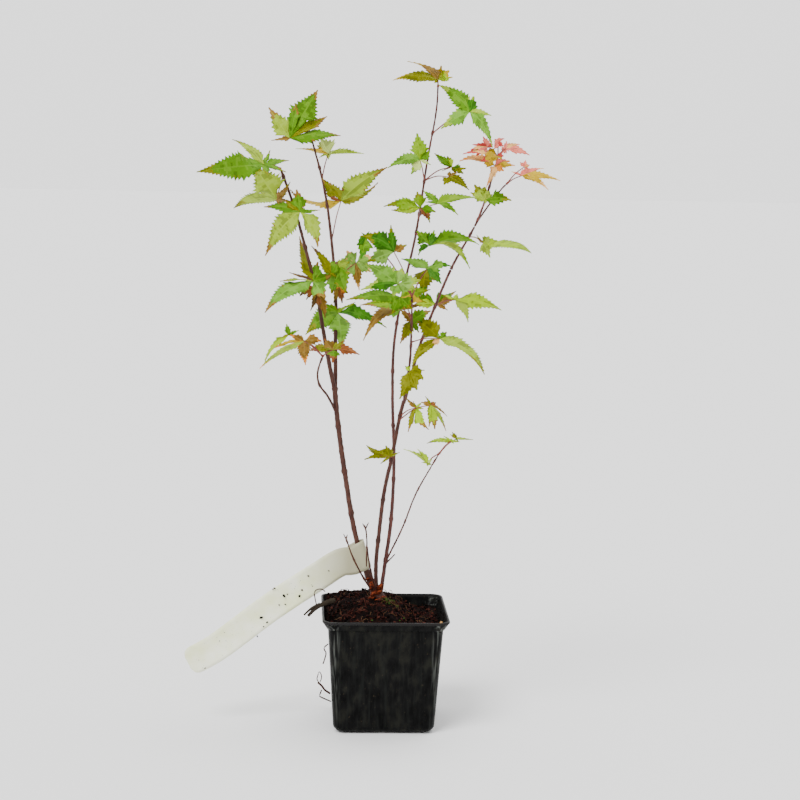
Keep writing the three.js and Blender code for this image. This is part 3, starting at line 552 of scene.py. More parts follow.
# Places are column, row and back. Radii are in mm, and a knot is given by its height in mm.
STEMS = {
    "trunk": {
        "places": [(378, 600, 12), (375, 590, 11.5), (367.5, 574, 10), (355.5, 535, 8), (345.5, 478, 5),
                   (337, 415, 2), (334.5, 385, 0)],
        "radii": (2.2, 2.3), "flare": 5.0, "knots": (150, 185, 222, 262, 296), "young": 0,
    },
    "left_leader": {
        "places": [(334.8, 390, 0), (331, 373, -5), (323.5, 332, -14), (318, 300, -23), (306, 250, -37),
                   (292, 200.5, -50), (280.5, 168.5, -58)],
        "radii": (2.0, 1.0), "knots": (330, 376, 420, 458, 479), "young": 0,
    },
    "second_leader": {
        "places": [(335, 390, 0), (335.5, 373, 4), (335.5, 337, 12), (336, 305, 20), (332.5, 250, 33),
                   (324.5, 190, 46), (309.5, 130.5, 56)],
        "radii": (1.9, 0.8), "knots": (350, 385, 402, 452, 485, 516), "young": 0,
    },
    "curved_twig": {
        "places": [(335.8, 412, 1), (328, 396.5, -6), (319.5, 385, -13), (317.5, 376, -19), (318.5, 368, -24),
                   (323, 355.5, -32)],
        "radii": (1.1, 0.75), "knots": (300, 324), "young": 0,
    },
    "middle_stem": {
        "places": [(378, 599, 12), (376.5, 588, 11), (376, 564, 10), (379, 533, 9), (384.5, 490, 7),
                   (392, 456.5, 5), (399.5, 418, 2), (404, 400, 0)],
        "radii": (1.9, 1.6), "knots": (160, 197, 233, 273, 286), "young": 0,
    },
    "middle_leader": {
        "places": [(404, 403, 0), (406, 383, -8), (409.5, 365.5, -16), (411.5, 328, -30), (412, 294, -42)],
        "radii": (1.3, 0.75), "knots": (306, 337, 357, 377), "young": 1,
    },
    "right_leader": {
        "places": [(404, 403, 0.5), (410, 381, 7), (419, 348, 12), (435, 306.5, 18), (452.5, 266, 24),
                   (477, 221.5, 30), (490, 185, 20), (498, 157, 8)],
        "radii": (1.5, 0.75), "knots": (325, 367, 400, 430, 443, 472, 497), "young": 1,
    },
    "right_twig": {
        "places": [(476.5, 223, 30), (487.5, 207, 38), (502, 188.5, 50), (507, 183.5, 54)],
        "radii": (0.8, 0.65), "knots": (476,), "young": 1,
    },
    "tall_stem": {
        "places": [(379, 598, 12), (381, 590, 12.5), (384.5, 567, 15), (391, 520, 17), (394, 459, 17),
                   (392.5, 399, 15), (394, 345, 13), (402, 295.5, 11), (415.5, 235.5, 10), (428, 157, 6),
                   (436.5, 109.5, 2), (438, 87, 0)],
        "radii": (1.8, 0.7), "young": 1,
        "knots": (141, 178, 214, 262, 310, 352, 394, 432, 448, 476, 517, 556),
    },
    "low_twig": {
        "places": [(385, 563, 15), (402.5, 527.5, 2), (416, 493.5, -14), (432.5, 464.5, -32),
                   (439.5, 453, -40)],
        "radii": (0.8, 0.6), "knots": (180, 212, 239), "young": 1,
    },
    "short_stub": {
        "places": [(385, 564.5, 15), (395, 554, 17)],
        "radii": (0.75, 0.65), "knots": (149,), "young": 1,
    },
    "bare_twig_left": {
        "places": [(375, 595, 10), (363, 577, -2), (353, 557.5, -6), (346, 539, -7), (343.5, 534, -7)],
        "side": [(346, 539, -7), (347.5, 534.5, -6.5)],
        "radii": (0.95, 0.6), "knots": (128, 146, 162), "young": 0,
    },
    "bare_twig_front": {
        "places": [(377.5, 595, 10), (370.5, 570, -3), (366.5, 544, -5)],
        "side": [(367, 547, -5), (366.5, 557, -6), (366.5, 566.5, -6)],
        "radii": (1.0, 0.65), "knots": (135, 156), "young": 0,
    },
    "bare_twig_back": {
        "places": [(375, 595, 13), (368.5, 571.5, 18), (365.5, 528.5, 17), (362.5, 523.5, 16.5)],
        "side": [(365.5, 529, 17), (368.5, 522.5, 17)],
        "radii": (0.9, 0.6), "knots": (150, 171), "young": 0,
    },
}
SOIL_AT_CROWN = 107
FLARE_FADE = 12
KNOT_SWELLING, KNOT_LENGTH = 0.32, 1.6
STEM_STEP, STEM_SIDES = 0.0016, 12
TIP_STEPS, TIP_SHARE = 1.5, 0.55
RIDGE_SIZE, RIDGE_HIGH, TRUNK_RIDGE_HIGH = 0.0035, 0.0005, 0.0011
OLD_BARK_GRAIN, YOUNG_BARK_GRAIN = (1.0, 5, (900, 900, 160)), (1.0, 4, (700, 700, 90))
BARK_PATCHES, PATCH_SHARE = (120, 4), 0.45

bark_low, nodes, links, shader = plain_material("red_brown_bark", tone(60, 30, 20), 0.6, 0.25)
grain = object_noise(nodes, links, *OLD_BARK_GRAIN)
patch = object_noise(nodes, links, *BARK_PATCHES)
fine = ramp(nodes, links, grain, [(0.32, tone(30, 12, 8)), (0.7, tone(92, 46, 34))])
wide = ramp(nodes, links, patch, [(0.35, tone(48, 20, 15)), (0.7, tone(94, 60, 46))])
links.new(mix_colours(nodes, links, PATCH_SHARE, fine, wide), shader.inputs["Base Color"])
add_bump(nodes, links, shader, grain, 0.5, 0.0003)
stops = [(0.3, tone(46, 16, 15)), (0.7, tone(98, 50, 40))]
bark_high = mottled_material(
    "young_red_bark", tone(62, 30, 26), 0.5, 0.3, YOUNG_BARK_GRAIN, stops, 0.3, 0.0002
)


def stem_radius(stem, along, height):
    """The taper, with the flare at the crown and a swelling at each knot, in mm."""
    low, high = stem["radii"]
    radius = low + (high - low) * along
    radius += stem.get("flare", 0) * math.exp(-max(0, height - SOIL_AT_CROWN) / FLARE_FADE)
    for knot in stem["knots"]:
        radius += KNOT_SWELLING * low * math.exp(-(((height - knot) / KNOT_LENGTH) ** 2))
    return radius


def add_ridges(piece, name, size, height):
    """The ridges of bark, pushed out of the mesh by a clouded texture."""
    relief = bpy.data.textures.new(name, "CLOUDS")
    relief.noise_scale = size
    ridges = piece.modifiers.new(name, "DISPLACE")
    ridges.texture = relief
    ridges.texture_coords = "LOCAL"
    ridges.strength = height
    apply_modifiers(piece)


for name, stem in STEMS.items():
    points, faces, indices = [], [], []
    for key in ("places", "side"):
        if key not in stem:
            continue
        route = smooth_route([seen(place) for place in stem[key]], STEM_STEP)
        radii = []
        for i, place in enumerate(route):
            share = i / (len(route) - 1)
            radius = stem_radius(stem, share, place.z * 1000) if key == "places" else stem["radii"][1]
            tip = min(1, (len(route) - 1 - i) / TIP_STEPS)
            radii.append(radius * (TIP_SHARE + (1 - TIP_SHARE) * tip) * 0.001)
        add_thread(points, faces, indices, route, radii, 0, STEM_SIDES)
    piece = joined_mesh("bark_" + name, points, faces, indices, [(bark_low, bark_high)[stem["young"]]], True)
    add_ridges(piece, "bark_ridges", RIDGE_SIZE, TRUNK_RIDGE_HIGH if name == "trunk" else RIDGE_HIGH)
    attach(piece, "root")
    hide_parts(name)

# The crown's swellings and the scar of a stem cut off low: place, and size in mm
CROWN_LUMPS = [
    ((372, 598, 6), 4.4), ((378, 600, 4), 5.2), ((384, 598, 8), 4.2), ((379, 592, 8), 4.6),
    ((380, 587, 8), 5.2), ((374, 593, 6), 6.4), ((371.5, 585, 6), 5.4), ((368.5, 579, 6), 4.0),
]
CROWN_RIDGE_SIZE, CROWN_RIDGE_HIGH = 0.0016, 0.0012
stops = [(0.34, tone(36, 13, 8)), (0.52, tone(88, 34, 18)), (0.7, tone(140, 66, 34))]
rust_bark = mottled_material("rust_bark", tone(96, 40, 20), 0.75, 0.08, (420, 5), stops, 0.9, 0.0009)
chance = random.Random(5)
points, faces, indices = [], [], []
for place, size in CROWN_LUMPS:
    add_lump(points, faces, indices, seen(place), size * 0.001, chance, 0)
crown = joined_mesh("root_crown", points, faces, indices, [rust_bark], True)
smooth = crown.modifiers.new("rounded_lumps", "SUBSURF")
smooth.levels = 2
smooth.render_levels = 2
add_ridges(crown, "crown_ridges", CROWN_RIDGE_SIZE, CROWN_RIDGE_HIGH)
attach(crown, "root")


# Foliage
# Palmate leaves on thin reddish stalks. A blade is about 0.3 mm thick, with three to seven toothed lobes,
# joined low down. Old leaves are green, and the young ones at the tips are pink or orange.
TINTS = {
    "deep": (54, 110, 8), "green": (84, 130, 4), "fresh": (112, 150, 0), "light": (146, 172, 40),
    "pale": (182, 202, 104), "olive": (116, 118, 0), "bronze": (134, 100, 34), "gold": (186, 152, 14),
    "lime": (156, 190, 0), "orange": (214, 128, 36), "peach": (234, 176, 104), "pink": (232, 120, 104),
    "red": (196, 62, 56), "brown": (92, 66, 36), "rust": (130, 72, 34), "cool": (106, 156, 40),
    "mint": (126, 170, 62),
}
# The dim shade is painted shade, and the lit shade is painted highlight, paled by a haze
# Each tint has a dim, an even and a lit shade: the share of it that is kept, and how much highlight haze is
# mixed in.
SHADES = {"dim": (0.82, 0), "even": (1.0, 0), "lit": (1.03, 0.11)}
HIGHLIGHT_HAZE = (208, 218, 176)
BRIGHTEST = 250
# A leaf's roughness, gloss, grain and relief
LEAF_FINISH = (0.6, 0.07, 650, 0.00012)
tint_places = [(name, shade) for name in TINTS for shade in SHADES]
tint_materials = []
for name, shade in tint_places:
    kept, haze = SHADES[shade]
    parts = zip(TINTS[name], HIGHLIGHT_HAZE)
    mixed = tone(*[min(BRIGHTEST, part * kept) * (1 - haze) + pale * haze for part, pale in parts])
    tint_materials.append(grained_material(f"leaf_{name}_{shade}", mixed, *LEAF_FINISH))
stalk_material = grained_material("leaf_stalk", tone(122, 54, 42), 0.5, 0.3, 900, 0.0001)

# How a blade lies: mm away from the viewer for each mm up. With a minus sign its upper part leans nearer.
LEVEL = 2.2
SLANTING = 1.2
UPRIGHT = 0.5

# Each leaf: the row where its stalk leaves the stem, the end of its stalk as column, row and back, how it
# lies, the tint of its edges, and its lobes. Each lobe: the column and row of its tip, its width and how
# far it bows up, both in pixels of the view, and its tint.
FOLIAGE = {
    "leaves_left_top": ("second_leader", "foliage_green", [
        (131, (290, 138.5, 36), UPRIGHT, "bronze", [
            (268.5, 107, 16, -1, "light"), (295, 104, 16, 0, "green"), (316, 89, 29, 1, "green"),
            (326, 116, 14, 0, "olive"), (340, 136, 12, 2, "green"), (272, 140.5, 2.5, 0, "bronze")]),
        (178, (328.5, 154, 74), -LEVEL, "pale", [
            (297, 148.5, 3, 0, "gold"), (322, 138, 20, 0, "pale"), (364, 154, 4.5, 0, "light")]),
    ]),
    "leaves_far_left": ("left_leader", "foliage_green", [
        (168, (264, 165, -79), LEVEL, "olive", [
            (229, 139.5, 6, 3, "light"), (269, 150, 5, 0, "green"), (288, 161, 6, 1, "green"),
            (202, 171, 23, 0, "green")]),
        (176, (277, 199, -45), -LEVEL, "olive", [
            (257, 164, 27, 0, "light"), (229, 210.5, 11, 3, "light"), (292, 181, 5, 0, "bronze")]),
    ]),
    "leaves_left_shoulder": ("left_leader", "foliage_green", [
        (213, (300, 212, -68), -UPRIGHT, "bronze", [
            (262, 208, 10, 2, "green"), (285, 200, 13, 0, "olive"), (297, 189, 13, 0, "green"),
            (321, 209.5, 2.5, 0, "green"), (317, 248, 16, 5, "light"), (262, 259, 20, 5, "light")]),
    ]),
    "leaves_between": ("second_leader", "foliage_green", [
        (241, (341, 201, 66), -SLANTING, "bronze", [
            (323, 177, 13, 0, "olive"), (388, 167, 19, 3, "light"), (378, 182, 6, -5, "olive"),
            (293, 188, 5, -9, "gold"), (326, 193, 4, 0, "rust")]),
    ]),
    "leaves_left_middle": ("left_leader", "foliage_green", [
        (287, (313, 281, -38), SLANTING, "bronze", [
            (297, 238, 7, -1, "olive"), (317, 263, 13, 0, "green"), (281, 280, 3, 1, "light"),
            (289, 272, 2.5, 0, "brown"), (269, 308, 14, 6, "cool"), (326, 297, 18, 0, "cool"),
            (330, 277, 13, 0, "green")]),
        (292, (314, 289, -30), -UPRIGHT, "brown", [
            (300, 296, 8, 2, "rust"), (306, 300, 5, 0, "rust"), (316, 296, 6, 0, "brown")]),
        (296, (317, 294, -25), UPRIGHT, "brown", [
            (312, 303, 6, 0, "bronze"), (325, 318, 8, 2, "bronze"), (311, 310, 4, 0, "brown"),
            (320, 308, 7, 0, "rust")]),
    ]),
    "leaves_left_inner": ("second_leader", "foliage_green", [
        (265, (331, 273, -2), UPRIGHT, "brown", [
            (311, 246, 7, 1, "olive"), (320, 264, 7, 0, "olive"), (337, 262, 10, 0, "green")]),
        (268, (338, 268, 6), UPRIGHT, "olive", [
            (327, 263, 8, 0, "green"), (350, 262, 10, 1, "light"), (332, 293, 19, 0, "cool"),
            (347, 292, 17, 0, "green")]),
        (286, (339, 287, 4), -UPRIGHT, "brown", [
            (333, 304, 7, 0, "bronze"), (342, 304, 7, 0, "rust"), (348, 293, 7, 0, "orange"),
            (330, 290, 5, 0, "orange")]),
    ]),
    "leaves_pale_back": ("second_leader", "foliage_green", [
        (285, (356, 263, 48), -UPRIGHT, "peach", [
            (347, 250, 13, 0, "mint"), (374, 258, 13, 1, "mint"), (334, 263, 12, 0, "mint"),
            (343, 276, 16, 0, "mint"), (359, 292, 9, 0, "bronze"), (371, 273, 12, 0, "mint")]),
    ]),
    "leaves_left_bright": ("second_leader", "foliage_green", [
        (322, (338, 313, -8), -SLANTING, "olive", [
            (321, 304, 7, 1, "green"), (356, 300, 5, 0, "fresh"), (387, 327, 13, 6, "deep"),
            (303, 340, 19, 3, "green"), (340, 356, 18, 0, "cool")]),
    ]),
    "leaves_left_orange": ("curved_twig", "foliage_orange", [
        (356, (304, 341, -54), -SLANTING, "orange", [
            (291, 333, 7, 0, "bronze"), (321, 343, 10, 2, "bronze"), (304, 369, 11, 0, "bronze"),
            (270, 349, 5, 2, "gold"), (259, 370, 6, 3, "light")]),
        (356, (289, 335, -66), -UPRIGHT, "light", [
            (287, 323, 5.5, 0, "green"), (264, 366, 4.5, 4, "lime"), (281, 338, 3, 0, "olive")]),
        (356, (333, 350, -40), -LEVEL, "rust", [
            (360, 354, 9, 2, "rust"), (332, 365, 12, 0, "green"), (308, 354, 9, 2, "olive"),
            (325, 337, 10, 0, "bronze"), (344, 339, 7, 0, "olive")]),
    ]),
    "leaves_middle_upper": ("middle_leader", "foliage_green", [
        (296, (394, 252, -64), -UPRIGHT, "olive", [
            (391, 224, 9, 0, "deep"), (407, 245, 8, 0, "bronze"), (361, 235, 17, 5, "deep"),
            (368, 261, 17, 0, "mint")]),
        (296, (366, 237, -72), UPRIGHT, "deep", [
            (361, 258, 14, 0, "green"), (357, 245, 8, 0, "deep")]),
        (296, (398, 284, -66), -SLANTING, "light", [
            (366, 261, 18, 1, "cool"), (402, 267, 16, 0, "mint"), (421, 281, 15, 0, "mint"),
            (361, 289, 12, 2, "deep"), (393, 297, 17, 0, "cool"), (416, 291, 13, 0, "mint")]),
        (296, (427, 269, -34), -LEVEL, "deep", [
            (401, 257, 10, 2, "cool"), (452, 267, 9, 2, "cool"), (442, 286, 16, 0, "deep"),
            (424, 300, 19, 0, "olive")]),
    ]),
    "leaves_middle_serrate": ("middle_leader", "foliage_green", [
        (318, (400, 297, -40), LEVEL, "olive", [
            (347, 297, 10, 2, "green"), (431, 292, 12, 0, "fresh"), (392, 312, 15, 0, "green"),
            (412, 308, 13, 0, "green"), (427, 303, 7, 0, "gold")]),
        (320, (404, 310, -27), LEVEL, "bronze", [
            (359, 308, 8, 2, "fresh"), (364, 337, 9, 8, "bronze"), (382, 316, 14, 2, "cool")]),
        (324, (412, 321, -20), SLANTING, "bronze", [
            (431, 313, 12, 1, "green"), (400, 341, 10, 0, "olive"), (419, 332, 6, 0, "green"),
            (399, 309, 6, 0, "bronze")]),
    ]),
    "leaves_right_arched": ("middle_leader", "foliage_green", [
        (342, (440, 339, -34), LEVEL, "olive", [
            (413, 319, 17, 1, "olive"), (482, 368, 7.5, 6, "light"), (447, 333, 8, 0, "green"),
            (437, 331, 2, 0, "green"), (412, 362, 8, 3, "olive"), (430, 345, 6, 0, "peach")]),
    ]),
    "leaves_right_yellow": ("right_leader", "foliage_bright", [
        (307, (455, 300, 40), LEVEL, "light", [
            (502, 311, 14, 2, "lime"), (467, 320, 8, 2, "light")]),
        (307, (436, 304, 44), LEVEL, "bronze", [
            (457, 293, 5, 0, "deep"), (447, 296, 13, 0, "green"), (411, 297, 12, 0, "green"),
            (411, 304, 8, 0, "lime"), (448, 310, 4, 0, "bronze"), (455, 301, 8, 0, "bronze")]),
    ]),
    "leaves_right_low_tip": ("right_leader", "foliage_bright", [
        (237, (483, 243, 52), -LEVEL, "light", [
            (535, 257, 9, 4, "lime"), (491, 259, 11, 0, "light"), (489, 236, 10, 0, "light"),
            (476, 234, 2, 0, "olive"), (498, 241, 8, 0, "lime")]),
    ]),
    "leaves_centre_arched": ("tall_stem", "foliage_green", [
        (234, (430, 246, -22), -LEVEL, "fresh", [
            (417, 230, 16, 0, "green"), (434, 229, 10, 0, "deep"), (478, 243, 12, 6, "green"),
            (471, 271, 8, 9, "light"), (419, 257, 6, 3, "deep")]),
    ]),
    "leaves_centre_left": ("tall_stem", "foliage_green", [
        (219, (420, 208, -14), -LEVEL, "olive", [
            (417, 191, 12, 0, "fresh"), (383, 207.5, 10, 2, "fresh"), (436, 212, 8, 0, "green"),
            (391, 211, 8, -3, "lime"), (430, 224, 8, 1, "rust")]),
    ]),
    "leaves_centre_right": ("tall_stem", "foliage_green", [
        (217, (437, 204, 50), LEVEL, "light", [
            (423, 191, 7, 0, "green"), (482, 200.5, 5, 2, "fresh"), (458, 215, 5.5, 2, "green")]),
    ]),
    "leaves_upper_left": ("tall_stem", "foliage_green", [
        (181, (420, 160, -14), UPRIGHT, "fresh", [
            (417, 133, 15, 0, "fresh"), (430, 151, 10, 0, "green"), (388, 168, 10, 4, "cool"),
            (411, 174, 10, 0, "pale"), (431, 165, 3, 0, "pale")]),
    ]),
    "leaves_upper_curled": ("tall_stem", "foliage_green", [
        (181, (452, 167, 36), -SLANTING, "olive", [
            (434, 153, 7, 0, "green"), (447, 156, 7, 0, "lime"), (464, 174, 9, 0, "green"),
            (467, 168, 7, -2, "olive"), (442, 171, 1.5, 0, "bronze")]),
        (181, (449, 177, 30), -SLANTING, "olive", [
            (444, 185, 9, 0, "olive"), (470, 191, 8, 1, "olive"), (450, 171, 4, 0, "bronze")]),
    ]),
    "leaves_upper_right": ("tall_stem", "foliage_green", [
        (133, (470, 112, -24), UPRIGHT, "light", [
            (438, 84, 14, 4, "green"), (474, 96, 11, 0, "deep"), (491, 116, 6, 1, "light"),
            (491, 148, 9, 5, "cool"), (441, 129, 13, 1, "cool")]),
    ]),
    "leaves_top": ("tall_stem", "foliage_orange", [
        (87, (438, 80, -4), -LEVEL, "gold", [
            (393, 81, 9, 4, "olive"), (407, 63, 5, 6, "bronze"), (449, 71, 13, 0, "lime"),
            (453, 77, 5, 0, "lime"), (441, 66, 9, 0, "olive"), (434, 83, 3, 0, "olive")]),
    ]),
    "leaves_red_tip": ("right_leader", "foliage_red", [
        (156, (488, 147, -12), UPRIGHT, "red", [
            (472, 144.5, 5, 0, "red"), (483, 136.5, 6, 0, "pink"), (470, 150, 5, 1, "peach"),
            (476, 156, 7, 1, "pink"), (493, 144, 5, 0, "red")]),
        (156, (498, 143, 8), SLANTING, "red", [
            (495, 139, 5, 0, "pink"), (494, 149, 5, 0, "pink"), (505, 139, 5, 2, "pink"),
            (503, 146, 5, 0, "red")]),
        (156, (506, 148.5, 24), LEVEL, "pink", [
            (521, 144.5, 5, 1, "peach"), (530, 155.5, 7, 1, "pink"), (501, 153, 8, 0, "pink"),
            (507, 141, 5, 0, "pink")]),
        (158, (497, 156, -10), LEVEL, "red", [
            (462, 154, 6, 2, "peach"), (484, 151, 9, 0, "gold"), (504, 156, 6, 0, "red"),
            (480, 161, 10, 0, "gold")]),
        (168, (495, 166, -14), SLANTING, "orange", [
            (459, 161.5, 7, 5, "peach"), (511, 161.5, 9, 1, "pink"), (516, 166, 6, 1, "gold"),
            (482, 158, 10, 0, "gold"), (485, 187, 5, 0, "peach"), (504, 171, 8, 0, "orange")]),
    ]),
    "leaves_far_right": ("right_twig", "foliage_orange", [
        (184, (521, 176, 58), LEVEL, "peach", [
            (546, 169, 4, 1, "pink"), (561, 181, 6, 1, "gold"), (547, 189.5, 6, 2, "gold"),
            (533, 179, 6, 0, "gold")]),
        (184, (524, 167, 60), UPRIGHT, "pink", [
            (520, 162, 4, 0, "pink"), (526, 160, 4, 0, "pink"), (530, 165, 4, 0, "peach"),
            (528, 171, 4, 0, "pink")]),
    ]),
    "leaves_right_dark": ("right_leader", "foliage_green", [
        (222, (486, 200, 10), LEVEL, "olive", [
            (511, 200, 13, 2, "green"), (475, 185, 15, 0, "light"), (485, 187, 12, 0, "light"),
            (471, 193, 9, 0, "light")]),
    ]),
    "leaves_low_round": ("middle_stem", "foliage_orange", [
        (458, (390, 457, -8), -SLANTING, "olive", [
            (367, 440, 8, -2, "olive"), (364, 458, 8, 4, "olive"), (386, 443, 9, 0, "olive"),
            (378, 451, 10, 0, "bronze")]),
    ]),
    "leaves_hanging": ("middle_leader", "foliage_bright", [
        (369, (410, 371, -30), -UPRIGHT, "olive", [
            (399, 402, 15, -2, "olive"), (423, 380, 12, 3, "olive"), (425, 369, 3, 0, "olive"),
            (417, 391, 13, 0, "olive"), (405, 366, 8, 0, "lime")]),
    ]),
    "leaves_low_bright": ("middle_stem", "foliage_bright", [
        (416, (416, 408, -16), SLANTING, "bronze", [
            (408, 429, 5, 0, "olive"), (413, 402, 2, 0, "olive"), (429, 426, 9, -3, "lime"),
            (405, 399, 2, 0, "bronze")]),
        (420, (431, 405, -34), -UPRIGHT, "bronze", [
            (421, 403, 5, 0, "bronze"), (425, 396, 2, 0, "olive"), (447, 416, 2.5, 1, "bronze"),
            (435, 431, 11, 0, "lime"), (446, 432, 4, 1, "light"), (429, 429, 6, 0, "lime"),
            (436, 402, 5, 0, "rust")]),
    ]),
    "leaves_low_tip": ("low_twig", "foliage_bright", [
        (454, (456, 439, -52), -SLANTING, "olive", [
            (473, 438, 2.5, 0, "light"), (452, 431, 4, 0, "olive"), (450, 434, 2, 0, "bronze")]),
        (454, (451, 441, -50), -SLANTING, "olive", [
            (427, 447, 5.5, 1, "lime"), (454, 444, 2, 0, "light"), (451, 438, 3, 0, "lime")]),
        (454, (427, 463, -30), -SLANTING, "pale", [
            (403, 449, 4, 2, "light"), (417, 447, 5.5, 1, "lime"), (432, 458, 3, 0, "pale"),
            (432, 465, 2.5, 0, "light")]),
    ]),
}

# A lobe's outline: half its width along it, as a share of its widest
LOBE_OUTLINE = [
    (0, 0.46), (0.13, 0.74), (0.25, 0.95), (0.34, 1), (0.47, 0.88),
    (0.62, 0.6), (0.76, 0.34), (0.88, 0.15), (1, 0),
]
# A lobe's width as a share of its length: at least, at most, and where it is turned nearly edge on
LOBE_WIDTH, WIDEST_LOBE, NARROWEST_LOBE = 0.3, 0.85, 0.12
WIDTH_CHANCE = (0.93, 1.07)
LOBE_FULLNESS = 1.15
LEAST_SHOWN, LEAST_TURNED = 0.2, 0.1
STEEPEST_SIDE = 0.6
DEEPEST = 1.1
# A lobe bows within its blade where that shows in the view, and otherwise off the blade. The bow is a
# parabola that is 1 halfway along, so it starts at BOW_START times its height for each length.
BOW_SHOWS = 0.55
BOW_START = 4
STRONGEST_TWIST = math.radians(65)
TWIST_FROM, TWIST_OVER = 0.12, 0.3
# The small lobes that fill wide gaps: how long and wide they are, and how far they stay off the stalk
FULL_LEAF = 5
SMALL_LOBE, SMALL_WIDTH = (0.22, 0.32), 0.4
STALK_CLEAR = math.radians(50)
ARCH, FOLD, FOLD_WAYS = (0.01, 0.05), (0.05, 0.4), (-0.4, 1, 1)
PAST_TIP = 1.05
# How far the web between two lobes reaches, from a narrow gap to the widest, and how softly it ends
WEB_HIGH, WEB_LOW = 0.66, 0.1
SINUS = 0.14
WIDEST_WEB = math.radians(92)
OPEN_EDGE = math.radians(38)
LEAST_ROOM, WIDEST_SPREAD = 0.03, 1.3
# Teeth, as shares of their pitch along the lobe and of its half width across it
TOOTH_PITCH, FEWEST_TEETH = 3.6, 4
TEETH_FROM = 0.3
TOOTH_LEAN, NICK_LEAN = 0.6, -0.15
LARGE_TOOTH, SMALL_TOOTH, NICK = 0.19, 0.1, -0.13
QUILT = 0.16
COLUMNS = (-1, -0.7, -0.38, -0.06, 0.06, 0.38, 0.7, 1)
RIB = 3
# Blotches over a blade: the grain of wide patches and of flecks, across, along and from lobe to lobe
PATCH_GRAIN, FLECK_GRAIN = (0.45, 0.22, 3.1), (1.7, 0.9, 5.3)
# How much the flecks count, and from which blotch a face takes painted highlight (lit) or painted shade (dim)
FLECK_SHARE, LIT_ABOVE, DIM_BELOW = 0.4, 0.22, -0.2
# Where the edge's tint starts along a lobe, sooner off the rib and in patches, and from which fleck the
# margin has it too
TIP_STARTS, TIP_BY_COLUMN, TIP_BY_PATCH, MARGIN_FLECK = (0.74, 0.95), 0.04, 0.2, 0.42
BLADE_THICK = 0.0003
STALK_STEP, STALK_SIDES, STALK_BOW = 0.003, 6, 0.07
STALK_RADIUS, STALK_TAPER, STALK_FOOT = 0.0006, 0.0002, 0.0011


def smoothstep(value):
    value = min(1, max(0, value))
    return value * value * (3 - 2 * value)


def lobe_half_width(share):
    return float(np.interp(share, [p[0] for p in LOBE_OUTLINE], [p[1] for p in LOBE_OUTLINE]))


def blade_plane(end, root, lie):
    """How a blade lies for the viewer: its slope sideways, its right and up, and the way its top faces."""
    out = end - root
    side = min(STEEPEST_SIDE, max(-STEEPEST_SIDE, out.y / out.x))
    right, rise = Vector((1, side, 0)).normalized(), Vector((0, lie, 1))
    face = right.cross(rise).normalized()
    face = face if face.z > 0 else -face
    return side, right, face.cross(right), face


def lobe_facts(lobe, end, back, plane, lie, chance):
    """One lobe in its blade, from its reading: heading, length, dip of the tip, bows, width and twist."""
    column, row, wide, bow, tint = lobe
    wide *= LOBE_FULLNESS
    side, right, up, face = plane
    pixel = (EYE_DISTANCE + back) / VIEW_FOCUS
    flat = sighted(column, row, back) - end
    deepest = DEEPEST * flat.length
    spoke = Vector((flat.x, min(deepest, max(-deepest, side * flat.x + lie * flat.z)), flat.z))
    angle, length = math.atan2(spoke.dot(up), spoke.dot(right)), math.hypot(spoke.dot(up), spoke.dot(right))
    across = up * math.cos(angle) - right * math.sin(angle)
    square = Vector((-flat.z, 0, flat.x)).normalized()
    square = square if square.z > 0 else -square
    in_blade, off_blade = across.dot(square), face.dot(square)
    sideways = rising = 0
    if abs(in_blade) > BOW_SHOWS:
        sideways = bow * pixel / in_blade
    else:
        rising = bow * pixel / off_blade
    shown = max(LEAST_SHOWN, math.hypot(in_blade, off_blade))
    width = max(LOBE_WIDTH * length * chance.uniform(*WIDTH_CHANCE), wide * pixel / shown)
    width = min(width, WIDEST_LOBE * length)
    swing = math.acos(min(1, wide * pixel / (width * shown)))
    lean = math.atan2(off_blade, in_blade)
    turns = [(lean + way * swing + math.pi / 2) % math.pi - math.pi / 2 for way in (-1, 1)]
    twist = min(turns, key=abs)
    if abs(twist) > STRONGEST_TWIST:
        twist = math.copysign(STRONGEST_TWIST, twist)
        shows = abs(in_blade * math.cos(twist) + off_blade * math.sin(twist))
        width = max(NARROWEST_LOBE * length, min(width, wide * pixel / max(LEAST_TURNED, shows)))
    start = angle + BOW_START * sideways / length
    return {
        "angle": angle, "start": start, "length": length, "dip": spoke.dot(face),
        "sideways": sideways, "rising": rising, "width": width, "twist": twist, "tint": tint,
    }


def whole_leaf(lobes, stalk, chance):
    """The lobes that show, in turn round the blade, with small ones in the wide gaps of a sparse leaf."""
    lobes = sorted(lobes, key=lambda lobe: lobe["start"] % math.tau)
    longest = max(lobe["length"] for lobe in lobes)
    whole = []
    for i, lobe in enumerate(lobes):
        whole.append(lobe)
        gap = (lobes[(i + 1) % len(lobes)]["start"] - lobe["start"]) % math.tau or math.tau
        extra = int(gap / WIDEST_WEB) if len(lobes) < FULL_LEAF else 0
        for k in range(extra):
            angle = lobe["start"] + gap * (k + 1) / (extra + 1)
            if abs((angle - stalk + math.pi) % math.tau - math.pi) > STALK_CLEAR:
                length = longest * chance.uniform(*SMALL_LOBE)
                whole.append({
                    "angle": angle, "start": angle, "length": length, "dip": 0, "sideways": 0, "rising": 0,
                    "width": SMALL_WIDTH * length, "twist": 0, "tint": lobe["tint"],
                })
    return whole


def blotch(grain, column, row, turn, length):
    """Noise over a blade's faces, by column and row on a lobe and by the lobe's turn and length."""
    across, along, apart = grain
    return noise.noise(Vector((column * across, row * along, turn * apart + length)))


